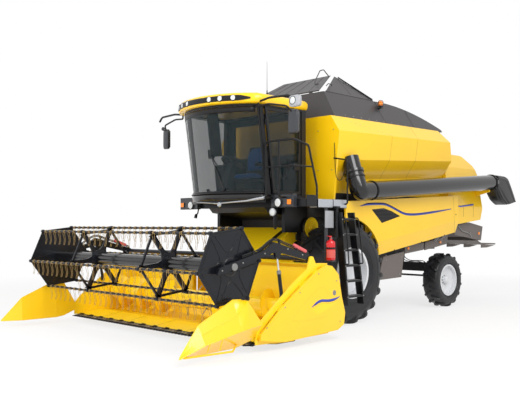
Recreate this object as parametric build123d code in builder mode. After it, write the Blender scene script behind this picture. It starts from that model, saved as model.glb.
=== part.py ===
from build123d import *
import os
from math import atan2, cos, degrees, hypot, radians, sin, tan

os.makedirs("parts", exist_ok=True)

# Combine harvester with a grain header and tined reel, in millimetres.
# +X is the machine's left (ladder) side, +Z is up, and the machine faces -Y.
# Every profile is measured rearwards from the front axle and up from the ground.
# The part's origin is under the middle of the whole machine, and the front axle
# stands FRONT_AXLE_Y from it, so the drawing planes below carry that one shift.

# ---------------------------------------------------------------- driving sizes
FRONT_AXLE_Y = -742
WHEELBASE = 3457
RUN = 0.3  # gap between two faces that turn, slide or rest on each other
FIT = 0.05  # radial clearance of a pin in its bore

DRIVE_TYRE_R = 870
DRIVE_TYRE_WIDTH = 640
DRIVE_WHEEL_X = 1225
DRIVE_RIM_WIDTH = 560
DRIVE_RIM_SEAT_R = 406
DRIVE_RIM_FLANGE_R = 438
DRIVE_HUB_R = 190
DRIVE_LUG_HEIGHT = 48
DRIVE_LUGS = 18

STEER_TYRE_R = 550
STEER_TYRE_WIDTH = 340
STEER_WHEEL_X = 1150
STEER_RIM_WIDTH = 300
STEER_RIM_SEAT_R = 300
STEER_RIM_FLANGE_R = 322
STEER_HUB_R = 110
STEER_LUG_HEIGHT = 34
STEER_LUGS = 15
KINGPIN_X = 870

BODY_HALF_WIDTH = 860
TANK_WALL = 30
TANK_FRONT_Y = -340
TANK_REAR_Y = 2050
UPPER_REAR_Y = 3390
PANEL_INNER_X = 1420
PANEL_THICKNESS = 30
HOOD_WALL = 25
EXTENSION_WALL = 20

PLATFORM_Z = 2100
PLATFORM_THICKNESS = 120
CAB_FLOOR_Z = 2185
CAB_TOP_Z = 3630
CAB_REAR_Y = -620
GLASS = 8

REEL_AXIS_Y = -3450
REEL_AXIS_Z = 1148
REEL_RADIUS = 538
REEL_BATS = 6
REEL_BAT_PHASE = 36.6  # first tine bar, degrees ahead of straight up
REEL_TUBE_R = 95
REEL_END_THICKNESS = 16
TINE_BAR_R = 17
TINE_LENGTH = 215
TINE_PITCH = 152
REEL_ARM_WIDTH = 50
REEL_PIVOT_Y = -1985
REEL_PIVOT_Z = 1205

HEADER_HALF_WIDTH = 2287
END_SHEET = 14
SHIELD_OUTER_X = HEADER_HALF_WIDTH + 75
REEL_END_X = HEADER_HALF_WIDTH - 117
TINES = 2 * int(REEL_END_X / TINE_PITCH)  # on each bar, an even number so that none meets a spider
REEL_ARM_X = HEADER_HALF_WIDTH - 62
AUGER_Y = -2230
AUGER_Z = 480
AUGER_TUBE_R = 150
AUGER_FLIGHT_R = 285
AUGER_PITCH = 560
GUARD_PITCH = 76.2
FEEDER_HALF_WIDTH = 670
FEEDER_PIVOT_Y = -500
FEEDER_PIVOT_Z = 1480

TUBE_X = 1600
TUBE_R = 160
TUBE_FRONT_Y = 40
TUBE_FRONT_Z = 2260
TUBE_RISE = 4.24  # degrees the folded unloading tube climbs to the rear
TUBE_LENGTH = 4750
TURRET_LEAN = 18  # degrees the tube's swing axis leans in at its top
TURRET_STUB = 330  # length of the tube's elbow along its swing axis

LADDER_X = 1640
LADDER_DEPTH = 130
LADDER_STEPS = 6


# ------------------------------------------------------------- drawing planes
def side(x):
    """Plane across the machine at x, drawn as (rearwards, height), facing left."""
    return Plane((x, FRONT_AXLE_Y, 0), x_dir=(0, 1, 0), z_dir=(1, 0, 0))


def front(y):
    """Plane across the machine at y, drawn as (left, height), facing forwards."""
    return Plane((0, FRONT_AXLE_Y + y, 0), x_dir=(1, 0, 0), z_dir=(0, -1, 0))


def level(z):
    """Level plane at height z, drawn as (left, rearwards), facing up."""
    return Plane((0, FRONT_AXLE_Y, z), x_dir=(1, 0, 0), z_dir=(0, 0, 1))


def face(plane, points):
    """Flat face with straight edges through points on plane."""
    with BuildSketch(plane, mode=Mode.PRIVATE) as sketch:
        with BuildLine():
            Polyline(*points, close=True)
        make_face()
    return sketch.sketch


def slab(points, x0, x1, mode=Mode.ADD):
    """Body with the side outline points, from x0 to x1."""
    extrude(face(side(x0), points), amount=x1 - x0, mode=mode)


def bar(start, end, radius, mode=Mode.ADD):
    """Round bar between two points given as (left, rearwards, height)."""
    along = Vector(*end) - Vector(*start)
    origin = Vector(start[0], start[1] + FRONT_AXLE_Y, start[2])
    with BuildSketch(Plane(origin, z_dir=along), mode=Mode.PRIVATE) as section:
        Circle(radius)
    extrude(section.sketch, amount=along.length, mode=mode)


def tube(points, radius, bend):
    """Round bent tube along points given as (left, rearwards, height)."""
    route = [Vector(x, y + FRONT_AXLE_Y, z) for x, y, z in points]
    with BuildLine(mode=Mode.PRIVATE) as path:
        FilletPolyline(*route, radius=bend)
    line = path.line
    with BuildSketch(Plane(line @ 0, z_dir=line % 0), mode=Mode.PRIVATE) as section:
        Circle(radius)
    sweep(section.sketch, path=line)


def mirrored(points):
    """Outline points followed by the same points on the other side, in order."""
    return list(points) + [(-x, z) for x, z in reversed(points)]


def save(piece, label):
    """Name a finished piece and write it to its file."""
    piece.label = label
    export_step(piece, f"parts/{label}.step")


# ------------------------------------------------------------------- wheels
def wheel_plane(x, y, z):
    """Plane of a wheel, with its axis along +X and its first spoke rearwards."""
    return Plane((x, FRONT_AXLE_Y + y, z), x_dir=(0, 1, 0), z_dir=(1, 0, 0))


def wheel_section(x, y, z, points):
    """Section of a wheel through its axle, drawn as (outwards, radius)."""
    return face(Plane((x, FRONT_AXLE_Y + y, z), x_dir=(1, 0, 0), z_dir=(0, -1, 0)), points)


def build_tyre(label, x, y, radius, width, seat_r, flange_r, rim_width, lug_height, lugs):
    """Tyre with two rows of slanted lugs that meet in arrows along its middle."""
    base_r = radius - lug_height
    axle = Axis((x, FRONT_AXLE_Y + y, radius), (1, 0, 0))
    bead = rim_width / 2 - 16
    half = width / 2
    # (outwards, radius) from the bead round the sidewall to the crown
    section = [
        (bead, seat_r + RUN),
        (bead, flange_r + 6),
        (half - 8, flange_r + 40),
        (half, (base_r + flange_r) / 2 + 20),
        (half - 14, base_r - 60),
        (half - 60, base_r - 14),
        (0, base_r),
    ]
    outline = section + [(-a, r) for a, r in reversed(section[:-1])]
    lug_length = half * 1.12
    with BuildPart() as lug_ring:
        revolve(
            wheel_section(x, y, radius, [(-half + 8, base_r - 40), (half - 8, base_r - 40),
                                         (half - 8, radius), (-half + 8, radius)]),
            axis=axle,
        )
    with BuildPart() as lug_bars:
        with Locations(wheel_plane(x, y, radius)):
            for row in (1, -1):
                first = 90 + (0 if row > 0 else 180 / lugs)
                with PolarLocations(base_r, lugs, start_angle=first):
                    with Locations((0, 0, row * half * 0.5)):
                        Box(lug_height * 2 + 40, 46 * radius / DRIVE_TYRE_R, lug_length,
                            rotation=(row * 42, 0, 0))
        add(lug_ring.part, mode=Mode.INTERSECT)
    with BuildPart() as tyre:
        revolve(wheel_section(x, y, radius, outline), axis=axle)
        add(lug_bars.part)
    save(tyre.part, label)


def build_rim(label, x, y, z, width, seat_r, flange_r, hub_r, dish):
    """Steel rim with its disc set outwards by dish and a closed hub."""
    hand = 1 if x > 0 else -1
    half = width / 2
    barrel_r = seat_r - 14
    # (outwards, radius) round the section, inner side first
    section = [
        (dish - 130, 0), (dish - 130, hub_r * 0.8), (dish - 40, hub_r * 0.8),
        (dish - 14, hub_r * 1.25), (dish + 26, barrel_r), (-half, barrel_r),
        (-half, flange_r), (-half + 14, flange_r), (-half + 14, seat_r),
        (half - 14, seat_r), (half - 14, flange_r), (half, flange_r),
        (half, barrel_r), (dish + 42, barrel_r), (dish + 4, hub_r * 1.25),
        (dish + 4, hub_r * 0.72), (dish + 74, hub_r * 0.66), (dish + 90, hub_r * 0.4),
        (dish + 90, 0),
    ]
    with BuildPart() as rim:
        revolve(
            wheel_section(x, y, z, [(hand * a, r) for a, r in section]),
            axis=Axis((x, FRONT_AXLE_Y + y, z), (1, 0, 0)),
        )
    save(rim.part, label)


DRIVE_DISH = 60
STEER_DISH = 40
DRIVE_HUB_BACK_X = DRIVE_WHEEL_X + DRIVE_DISH - 130
STEER_HUB_BACK_X = STEER_WHEEL_X + STEER_DISH - 130
for hand, where in ((1, "left"), (-1, "right")):
    build_tyre(f"drive_tyre_{where}", hand * DRIVE_WHEEL_X, 0, DRIVE_TYRE_R,
               DRIVE_TYRE_WIDTH, DRIVE_RIM_SEAT_R, DRIVE_RIM_FLANGE_R,
               DRIVE_RIM_WIDTH, DRIVE_LUG_HEIGHT, DRIVE_LUGS)
    build_rim(f"drive_rim_{where}", hand * DRIVE_WHEEL_X, 0, DRIVE_TYRE_R,
              DRIVE_RIM_WIDTH, DRIVE_RIM_SEAT_R, DRIVE_RIM_FLANGE_R, DRIVE_HUB_R, DRIVE_DISH)
    build_tyre(f"steer_tyre_{where}", hand * STEER_WHEEL_X, WHEELBASE, STEER_TYRE_R,
               STEER_TYRE_WIDTH, STEER_RIM_SEAT_R, STEER_RIM_FLANGE_R,
               STEER_RIM_WIDTH, STEER_LUG_HEIGHT, STEER_LUGS)
    build_rim(f"steer_rim_{where}", hand * STEER_WHEEL_X, WHEELBASE, STEER_TYRE_R,
              STEER_RIM_WIDTH, STEER_RIM_SEAT_R, STEER_RIM_FLANGE_R, STEER_HUB_R, STEER_DISH)

# -------------------------------------------------------------- front axle
AXLE_TUBE_R = 105
FINAL_DRIVE_X = 800
FINAL_DRIVE_R = 250
BODY_BELLY_Z = 1140
CHEEK = 14  # plate thickness of the cheeks and lugs that hold the lift cylinders
LIFT_X = 420
LIFT_BASE = (-300, 560)
LIFT_EYE = (-1260, 400)
LIFT_PIN_R = 18
LIFT_BOSS_HALF = 46
LIFT_EYE_HALF = 22
LIFT_EYE_GAP = 8
with BuildPart() as front_axle:
    bar((-FINAL_DRIVE_X, 0, DRIVE_TYRE_R), (FINAL_DRIVE_X, 0, DRIVE_TYRE_R), AXLE_TUBE_R)
    for hand in (1, -1):
        bar((hand * (FINAL_DRIVE_X - 60), 0, DRIVE_TYRE_R),
            (hand * (FINAL_DRIVE_X + 70), 0, DRIVE_TYRE_R), FINAL_DRIVE_R)
        bar((hand * FINAL_DRIVE_X, 0, DRIVE_TYRE_R),
            (hand * (DRIVE_HUB_BACK_X - RUN), 0, DRIVE_TYRE_R), DRIVE_HUB_R * 0.7)
    # gearbox in the middle, and the two saddles under the body's belly
    slab([(-230, 640), (250, 640), (300, 800), (300, 1010), (-260, 1010), (-260, 800)], -210, 210)
    for hand in (1, -1):
        slab([(-150, 860), (150, 860), (180, BODY_BELLY_Z), (-180, BODY_BELLY_Z)],
             hand * 620 - 60, hand * 620 + 60)
    # cheeks and pins that hold the feet of the lift cylinders
    for x in (-LIFT_X, LIFT_X):
        for inner in (x - LIFT_BOSS_HALF - RUN - CHEEK, x + LIFT_BOSS_HALF + RUN):
            slab([(-350, 510), (-250, 510), (100, 800), (80, 950), (-80, 950)], inner, inner + CHEEK)
        reach = LIFT_BOSS_HALF + RUN + CHEEK + 6
        bar((x - reach, *LIFT_BASE), (x + reach, *LIFT_BASE), LIFT_PIN_R)
save(front_axle.part, "front_axle")

# --------------------------------------------------------------- rear axle
REAR_BEAM_Z = 800
REAR_BEAM_HALF_HEIGHT = 90
KINGPIN_BOSS_R = 48
with BuildPart() as rear_axle:
    slab([(WHEELBASE - 80, REAR_BEAM_Z - REAR_BEAM_HALF_HEIGHT),
          (WHEELBASE + 80, REAR_BEAM_Z - REAR_BEAM_HALF_HEIGHT),
          (WHEELBASE + 80, REAR_BEAM_Z + REAR_BEAM_HALF_HEIGHT),
          (WHEELBASE - 80, REAR_BEAM_Z + REAR_BEAM_HALF_HEIGHT)], -KINGPIN_X + 30, KINGPIN_X - 30)
    for hand in (1, -1):
        bar((hand * KINGPIN_X, WHEELBASE, REAR_BEAM_Z - REAR_BEAM_HALF_HEIGHT),
            (hand * KINGPIN_X, WHEELBASE, REAR_BEAM_Z + REAR_BEAM_HALF_HEIGHT), KINGPIN_BOSS_R)
    # pivot saddle up to the belly
    slab([(WHEELBASE - 230, 1180), (WHEELBASE + 180, 1180), (WHEELBASE + 130, 860),
          (WHEELBASE - 130, 860)], -130, 130)
save(rear_axle.part, "rear_axle")

KNUCKLE_WEB_X = KINGPIN_X + KINGPIN_BOSS_R + 6
TRACK_ROD_Y = WHEELBASE - 190
TRACK_ROD_Z = 640
for hand, where in ((1, "left"), (-1, "right")):
    with BuildPart() as knuckle:
        # fork over and under the beam's end, its outer web, stub axle and steering arm
        top = REAR_BEAM_Z + REAR_BEAM_HALF_HEIGHT + RUN
        bottom = REAR_BEAM_Z - REAR_BEAM_HALF_HEIGHT - RUN
        for z, height in ((top, 36), (bottom - 40, 40)):
            slab([(WHEELBASE - 55, z), (WHEELBASE + 55, z), (WHEELBASE + 55, z + height),
                  (WHEELBASE - 55, z + height)], hand * (KINGPIN_X - 50), hand * (KNUCKLE_WEB_X + 24))
        slab([(WHEELBASE - 55, STEER_TYRE_R - 70), (WHEELBASE + 55, STEER_TYRE_R - 70),
              (WHEELBASE + 55, top + 36), (WHEELBASE - 55, top + 36)],
             hand * KNUCKLE_WEB_X, hand * (KNUCKLE_WEB_X + 24))
        bar((hand * KNUCKLE_WEB_X, WHEELBASE, STEER_TYRE_R),
            (hand * (STEER_HUB_BACK_X - RUN), WHEELBASE, STEER_TYRE_R), STEER_HUB_R * 0.6)
        slab([(TRACK_ROD_Y - 25, TRACK_ROD_Z + 15), (WHEELBASE, TRACK_ROD_Z + 15),
              (WHEELBASE, bottom - 5), (TRACK_ROD_Y - 25, TRACK_ROD_Z + 45)],
             hand * (KINGPIN_X - 45), hand * (KINGPIN_X + 5))
    save(knuckle.part, f"steering_knuckle_{where}")

with BuildPart() as track_rod:
    bar((-KINGPIN_X + 40, TRACK_ROD_Y, TRACK_ROD_Z - 10), (KINGPIN_X - 40, TRACK_ROD_Y, TRACK_ROD_Z - 10), 20)
    for hand in (1, -1):
        bar((hand * (KINGPIN_X - 20), TRACK_ROD_Y, TRACK_ROD_Z - 34),
            (hand * (KINGPIN_X - 20), TRACK_ROD_Y, TRACK_ROD_Z + 15 - RUN), 32)
save(track_rod.part, "track_rod")

# ------------------------------------------------------------ threshing body
BODY_FRONT_Y = -440
BODY_REAR_Y = 3640
BODY_TOP_Z = 2060
SUBFRAME_HALF_WIDTH = 1180
SUBFRAME_TOP_Z = 2240
UPPER_FRONT_Y = -300
OUTRIGGERS_Y = [250, 1500, 3250]
FEEDER_PIN_R = 25
HITCH_Y = 3700
HITCH_BORE_R = 16
PULLEY_Y = -400
PULLEY_Z = 1640
PULLEY_R = 180
with BuildPart() as threshing_body:
    slab([(BODY_FRONT_Y, 1300), (-300, BODY_BELLY_Z), (620, BODY_BELLY_Z), (760, 720), (1740, 720),
          (1900, 1180), (BODY_REAR_Y, 1180), (BODY_REAR_Y, BODY_TOP_Z), (BODY_FRONT_Y, BODY_TOP_Z)],
         -BODY_HALF_WIDTH, BODY_HALF_WIDTH)
    # sub-frame under the tank, which closes the recess behind the unloading tube
    slab([(UPPER_FRONT_Y + RUN, BODY_TOP_Z), (BODY_REAR_Y, BODY_TOP_Z), (BODY_REAR_Y, SUBFRAME_TOP_Z),
          (UPPER_FRONT_Y + RUN, SUBFRAME_TOP_Z)], -SUBFRAME_HALF_WIDTH, SUBFRAME_HALF_WIDTH)
    for hand in (1, -1):
        # outriggers out to the side panels
        for y in OUTRIGGERS_Y:
            slab([(y - 50, 1960), (y + 50, 1960), (y + 50, SUBFRAME_TOP_Z - 30),
                  (y - 50, SUBFRAME_TOP_Z - 30)], hand * (BODY_HALF_WIDTH - 5), hand * (PANEL_INNER_X - RUN))
        # lug and pin that the feeder house swings on
        slab([(BODY_FRONT_Y - 105, 1425), (BODY_FRONT_Y + 10, 1400), (BODY_FRONT_Y + 10, 1560),
              (BODY_FRONT_Y - 105, 1535)], hand * (FEEDER_HALF_WIDTH + 6), hand * (FEEDER_HALF_WIDTH + 36))
        bar((hand * (FEEDER_HALF_WIDTH - 65), FEEDER_PIVOT_Y, FEEDER_PIVOT_Z),
            (hand * (FEEDER_HALF_WIDTH + 36), FEEDER_PIVOT_Y, FEEDER_PIVOT_Z), FEEDER_PIN_R)
    # drive pulley on the left, ahead of the wheel
    bar((BODY_HALF_WIDTH - 10, PULLEY_Y, PULLEY_Z), (BODY_HALF_WIDTH + 12, PULLEY_Y, PULLEY_Z), 35)
    bar((BODY_HALF_WIDTH + 8, PULLEY_Y, PULLEY_Z), (BODY_HALF_WIDTH + 33, PULLEY_Y, PULLEY_Z), PULLEY_R)
    # rear hitch plate with its upright bore
    slab([(BODY_REAR_Y - 10, 1300), (HITCH_Y + 60, 1300), (HITCH_Y + 60, 1340), (BODY_REAR_Y - 10, 1340)],
         -60, 60)
    bar((0, HITCH_Y, 1290), (0, HITCH_Y, 1350), HITCH_BORE_R, Mode.SUBTRACT)
save(threshing_body.part, "threshing_body")

ENGINE_FLOOR_Z = SUBFRAME_TOP_Z + TANK_WALL + RUN
with BuildPart() as engine_block:
    slab([(2300, ENGINE_FLOOR_Z), (3000, ENGINE_FLOOR_Z), (3000, 2950), (2300, 2950)], -600, 500)
save(engine_block.part, "engine_block")

# -------------------------------------------------- grain tank and engine bay
# Section of the yellow upper body: (left, height at the front, height at the rear)
UPPER_SECTION = [
    (1150, SUBFRAME_TOP_Z, SUBFRAME_TOP_Z),
    (1190, 2450, 2660),
    (1420, 2790, 2990),
    (1484, 3275, 3360),
    (1300, 3550, 3600),
]


def upper_section(y, inset=0, top=0):
    """Section of the upper body at y, moved in by inset and up by top at its upper edge."""
    share = (y - UPPER_FRONT_Y) / (UPPER_REAR_Y - UPPER_FRONT_Y)
    points = []
    for number, (x, z_front, z_rear) in enumerate(UPPER_SECTION):
        z = z_front + (z_rear - z_front) * share
        if number == 0:
            z += inset
        points.append((x - inset, z))
    if top:
        points.append((points[-1][0], points[-1][1] + top))
    return points


def upper_body(y0, y1, inset=0, top=0, mode=Mode.ADD):
    """Length of the upper body between y0 and y1."""
    sections = [face(front(y), mirrored(upper_section(y, inset, top))) for y in (y0, y1)]
    loft(sections, ruled=True, mode=mode)


with BuildPart() as grain_tank:
    upper_body(UPPER_FRONT_Y, TANK_REAR_Y)
    # full-height front wall, wider than the walls behind it at the foot
    extrude(face(front(UPPER_FRONT_Y), mirrored(
        [(1360, BODY_TOP_Z + 60), (1484, 3275), (1300, 3550)])), amount=UPPER_FRONT_Y - TANK_FRONT_Y)
    # hopper with sloping floor, open at the top
    floor = [(1150 - TANK_WALL, 2520), (430, 2310)]
    cavity = [
        face(front(y), mirrored(floor[::-1] + upper_section(y, TANK_WALL, 60)[2:]))
        for y in (UPPER_FRONT_Y + 10, TANK_REAR_Y - TANK_WALL)
    ]
    loft(cavity, ruled=True, mode=Mode.SUBTRACT)
save(grain_tank.part, "grain_tank")

# rear end of the upper body slopes forwards above its widest line
UPPER_TAIL = [(3060, 3700), (3060, 3610), (3230, 3370), (UPPER_REAR_Y, 2995),
              (UPPER_REAR_Y - 40, 2200), (3900, 2200), (3900, 3700)]
with BuildPart() as engine_hood:
    upper_body(TANK_REAR_Y + RUN, UPPER_REAR_Y)
    upper_body(TANK_REAR_Y + TANK_WALL, UPPER_REAR_Y - 320, TANK_WALL, 60, Mode.SUBTRACT)
    slab(UPPER_TAIL, -1600, 1600, Mode.SUBTRACT)
    # cooling air opening in the right wall
    slab([(2250, 2900), (2950, 2930), (2950, 3220), (2250, 3220)], -1600, -1350, Mode.SUBTRACT)
save(engine_hood.part, "engine_hood")

# ------------------------------------------------------------- tank extension
EXT_FOOT_Z = 3550
EXT_TOP_Z = 4020
# (left, rearwards) of the plan corners, at the foot and at the top
EXT_FOOT = [(960, -290), (1270, -190), (1270, 3330)]
EXT_TOP = [(930, -185), (1010, -175), (1010, 3330)]
# side profile of the top edge: level over the tank, then falling in an arc to the tail
EXT_CREST_Y = 1300
EXT_FALL_MID = (2400, 3935)
EXT_TAIL = (3350, 3640)
FLAP_STANDS_X = [-700, 0, 700]
FRONT_FLAP_Y = -160
FRONT_FLAP_Z = EXT_TOP_Z + 30
FRONT_HINGE_R = 12
SIDE_HINGE_R = 10


def extension_plan(z, inset):
    """Plan outline of the extension at height z, moved in by inset."""
    share = (z - EXT_FOOT_Z) / (EXT_TOP_Z - EXT_FOOT_Z)
    points = []
    for (x0, y0), (x1, y1) in zip(EXT_FOOT, EXT_TOP):
        y = y0 + (y1 - y0) * share
        points.append((x0 + (x1 - x0) * share - inset, y + (inset if y < 0 else -inset)))
    return mirrored(points)


def extension_profile(drop, rise):
    """Side outline under the top edge: rise above the open hatch, and drop lower behind it."""
    with BuildSketch(side(-1400), mode=Mode.PRIVATE) as sketch:
        with BuildLine():
            low = EXT_FOOT_Z - 90
            crest = (EXT_CREST_Y - drop, EXT_TOP_Z - drop)
            tail = (EXT_TAIL[0] - drop, EXT_TAIL[1] - drop)
            ThreePointArc(crest, (EXT_FALL_MID[0], EXT_FALL_MID[1] - drop), tail)
            top = [(-400, crest[1] + rise), (crest[0], crest[1] + rise), crest] if rise else [(-400, crest[1]), crest]
            Polyline(tail, (tail[0], low), (-400, low), *top)
        make_face()
    return sketch.sketch


with BuildPart() as extension_void:
    loft([face(level(z), extension_plan(z, EXTENSION_WALL)) for z in (EXT_FOOT_Z - 60, EXT_TOP_Z + 60)],
         ruled=True)
    extrude(extension_profile(EXTENSION_WALL, 100), amount=2800, mode=Mode.INTERSECT)
with BuildPart() as tank_extension:
    loft([face(level(z), extension_plan(z, 0)) for z in (EXT_FOOT_Z - 10, EXT_TOP_Z + 10)], ruled=True)
    extrude(extension_profile(0, 0), amount=2800, mode=Mode.INTERSECT)
    add(extension_void.part, mode=Mode.SUBTRACT)
    # the body's sloping top edge is where the extension's foot is cut off
    foot = [face(front(y), mirrored([(1400, 3400), (1310, upper_section(y)[-1][1] + RUN)]))
            for y in (-400, 3400)]
    loft(foot, ruled=True, mode=Mode.SUBTRACT)
    # stands of the front flap's hinge
    for x in FLAP_STANDS_X:
        slab([(-183, EXT_TOP_Z - 10), (-150, EXT_TOP_Z - 10), (-150, FRONT_FLAP_Z - FRONT_HINGE_R - RUN),
              (-183, FRONT_FLAP_Z - FRONT_HINGE_R - RUN)], x - 30, x + 30)
save(tank_extension.part, "tank_extension")

# ------------------------------------------------------------- hatch covers
FLAP_THICKNESS = 6
FLAP_TOP_Y = 517
FLAP_TOP_Z = 4454
SIDE_FLAP_X = 1000
SIDE_FLAP_Z = EXT_TOP_Z + SIDE_HINGE_R + RUN
SIDE_FLAP_TOP_X = 640
SIDE_FLAP_TOP_Z = FLAP_TOP_Z - 20
SIDE_FLAP_FRONT_Y = -110
FLAP_ROD_R = 9
# the rod, (left, down from the flap's raised edge, over its face)
FLAP_ROD = [(570, 29, 4), (555, 87, 161), (532, 165, 176), (500, 344, 61), (502, 395, 12), (600, 406, 7)]
flap_rise = atan2(FLAP_TOP_Z - FRONT_FLAP_Z, FLAP_TOP_Y - FRONT_FLAP_Y)
flap_slant = hypot(FLAP_TOP_Z - FRONT_FLAP_Z, FLAP_TOP_Y - FRONT_FLAP_Y)
front_flap_plane = Plane((0, FRONT_AXLE_Y + FRONT_FLAP_Y, FRONT_FLAP_Z), x_dir=(1, 0, 0),
                         z_dir=(0, -sin(flap_rise), cos(flap_rise)))


def over_front_flap(x, down, over):
    """Point at x, down from the flap's raised edge along its slope, and over its face."""
    along = flap_slant - down
    return (x, FRONT_FLAP_Y + along * cos(flap_rise) - over * sin(flap_rise),
            FRONT_FLAP_Z + along * sin(flap_rise) + over * cos(flap_rise))


with BuildPart() as hatch_front:
    extrude(face(front_flap_plane, mirrored([(900, 0), (596, flap_slant)])), amount=FLAP_THICKNESS)
    bar((-880, FRONT_FLAP_Y, FRONT_FLAP_Z), (880, FRONT_FLAP_Y, FRONT_FLAP_Z), FRONT_HINGE_R)
    # bent rod that the flap is pulled open by, hooked over its left corner
    tube([over_front_flap(*spot) for spot in FLAP_ROD], FLAP_ROD_R, 30)
save(hatch_front.part, "hatch_front")

side_flap_rise = atan2(SIDE_FLAP_TOP_Z - SIDE_FLAP_Z, SIDE_FLAP_X - SIDE_FLAP_TOP_X)
side_flap_slant = hypot(SIDE_FLAP_TOP_Z - SIDE_FLAP_Z, SIDE_FLAP_X - SIDE_FLAP_TOP_X)
for hand, where in ((1, "left"), (-1, "right")):
    flap_plane = Plane((hand * SIDE_FLAP_X, FRONT_AXLE_Y, SIDE_FLAP_Z), x_dir=(0, 1, 0),
                       z_dir=(sin(side_flap_rise) * hand, 0, cos(side_flap_rise)))
    with BuildPart() as hatch_side:
        # the plane's second axis points inwards on the left and outwards on the right
        extrude(face(flap_plane, [(SIDE_FLAP_FRONT_Y, 0), (1260, 0), (610, hand * (side_flap_slant - 20)),
                                  (560, hand * side_flap_slant)]), amount=FLAP_THICKNESS)
        bar((hand * SIDE_FLAP_X, SIDE_FLAP_FRONT_Y, SIDE_FLAP_Z),
            (hand * SIDE_FLAP_X, 1260, SIDE_FLAP_Z), SIDE_HINGE_R)
    save(hatch_side.part, f"hatch_{where}")

# -------------------------------------------------------------- side panels
ARCH_R = DRIVE_TYRE_R + 62
PANEL_TOP_FRONT = (-130, 2088)
PANEL_TOP_REAR = (3560, 2290)
CREASE_RISE = radians(8.2)
with BuildPart() as panel_left:
    # section across the panel, swept along its rising crease
    x0, x1 = PANEL_INNER_X, PANEL_INNER_X + PANEL_THICKNESS
    section = [(x0, 2700), (x0, 1245), (x0 - 60, 1000), (x0 - 60 + PANEL_THICKNESS, 990),
               (x1, 1235), (x1, 2700)]
    extrude(face(front(-200), section), amount=4000, dir=(0, cos(CREASE_RISE), sin(CREASE_RISE)))
    with BuildSketch(side(PANEL_INNER_X - 100), mode=Mode.PRIVATE) as outline:
        with BuildLine():
            arch_top = (PANEL_TOP_FRONT[0], (ARCH_R**2 - PANEL_TOP_FRONT[0]**2) ** 0.5 + DRIVE_TYRE_R)
            arch_foot = (ARCH_R * cos(radians(14)), DRIVE_TYRE_R + ARCH_R * sin(radians(14)))
            arch_mid = (ARCH_R * cos(radians(48)), DRIVE_TYRE_R + ARCH_R * sin(radians(48)))
            ThreePointArc(arch_top, arch_mid, arch_foot)
            Polyline(arch_foot, (1010, 1100), (3560, 1490), (3610, 1700), (3600, 2270),
                     PANEL_TOP_REAR, PANEL_TOP_FRONT, arch_top)
        make_face()
    extrude(outline.sketch, amount=200, mode=Mode.INTERSECT)
    # air intake, sunk into the panel
    slab([(610, 1960), (970, 1990), (1210, 1940), (1490, 1850), (910, 1720)],
         PANEL_INNER_X + 14, PANEL_INNER_X + 60, Mode.SUBTRACT)
save(panel_left.part, "side_panel_left")
with BuildPart() as panel_right:
    mirror(panel_left.part, about=Plane.YZ)
save(panel_right.part, "side_panel_right")

# -------------------------------------------- lower skirts and their struts
SKIRT = 20
# (outline, inner left place, strut places): the plates rise towards the rear axle
SKIRTS = [
    ([(985, 680), (1730, 700), (1830, 1180), (1150, 1100)], 1290, [(1120, 900), (1600, 900)]),
    ([(1980, 1130), (2640, 1190), (2660, 1330), (1990, 1290)], 1200, [(2250, 1200)]),
    ([(2720, 1180), (3560, 1290), (3620, 1480), (2740, 1330)], 1180, [(3000, 1250)]),
]
with BuildPart() as lower_skirts:
    for hand in (1, -1):
        for outline, x, struts in SKIRTS:
            slab(outline, hand * x, hand * (x + SKIRT))
            for y, z in struts:
                slab([(y, z), (y + 60, z), (y + 60, z + 60), (y, z + 60)],
                     hand * (BODY_HALF_WIDTH + RUN), hand * (x + 5))
save(lower_skirts.part, "lower_skirts")

# ---------------------------------------------------------------- straw hood
HOOD_FRONT_Y = 3440
HOOD_SIDE = [(BODY_REAR_Y + RUN, 1690), (4730, 1800), (4810, 2030), (4775, 2790), (4660, 2990),
             (4340, 3200), (HOOD_FRONT_Y, 3215), (HOOD_FRONT_Y, SUBFRAME_TOP_Z + RUN),
             (BODY_REAR_Y + RUN, SUBFRAME_TOP_Z + RUN)]
HOOD_SECTION = [(1340, 1600), (1345, 2080), (1230, 2900), (1090, 3180), (1000, 3230)]
SADDLE_Y = 4560
TUBE_CLIMB = radians(TUBE_RISE)
saddle_top = (TUBE_FRONT_Z + (SADDLE_Y - TUBE_FRONT_Y) * tan(TUBE_CLIMB)
              - TUBE_R / cos(TUBE_CLIMB) - RUN)
with BuildPart() as hood_void:
    slab([(HOOD_FRONT_Y + HOOD_WALL, 1500), (4730 - HOOD_WALL, 1500), (4810 - HOOD_WALL, 2030),
          (4775 - HOOD_WALL, 2790), (4660 - HOOD_WALL, 2970), (4340, 3200 - HOOD_WALL),
          (HOOD_FRONT_Y + HOOD_WALL, 3215 - HOOD_WALL)], -1400, 1400)
    extrude(face(front(5000), mirrored([(x - HOOD_WALL, z - HOOD_WALL if z > 1700 else z - 200)
                                        for x, z in HOOD_SECTION])), amount=2000, mode=Mode.INTERSECT)
with BuildPart() as straw_hood:
    slab(HOOD_SIDE, -1400, 1400)
    extrude(face(front(5000), mirrored(HOOD_SECTION)), amount=2000, mode=Mode.INTERSECT)
    add(hood_void.part, mode=Mode.SUBTRACT)
    # saddle that the folded unloading tube lies on
    extrude(face(front(SADDLE_Y + 40), [(1285, 2300), (1640, saddle_top - 40), (1640, saddle_top),
                                        (1560, saddle_top), (1285, saddle_top - 20)]), amount=40)
save(straw_hood.part, "straw_hood")

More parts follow.
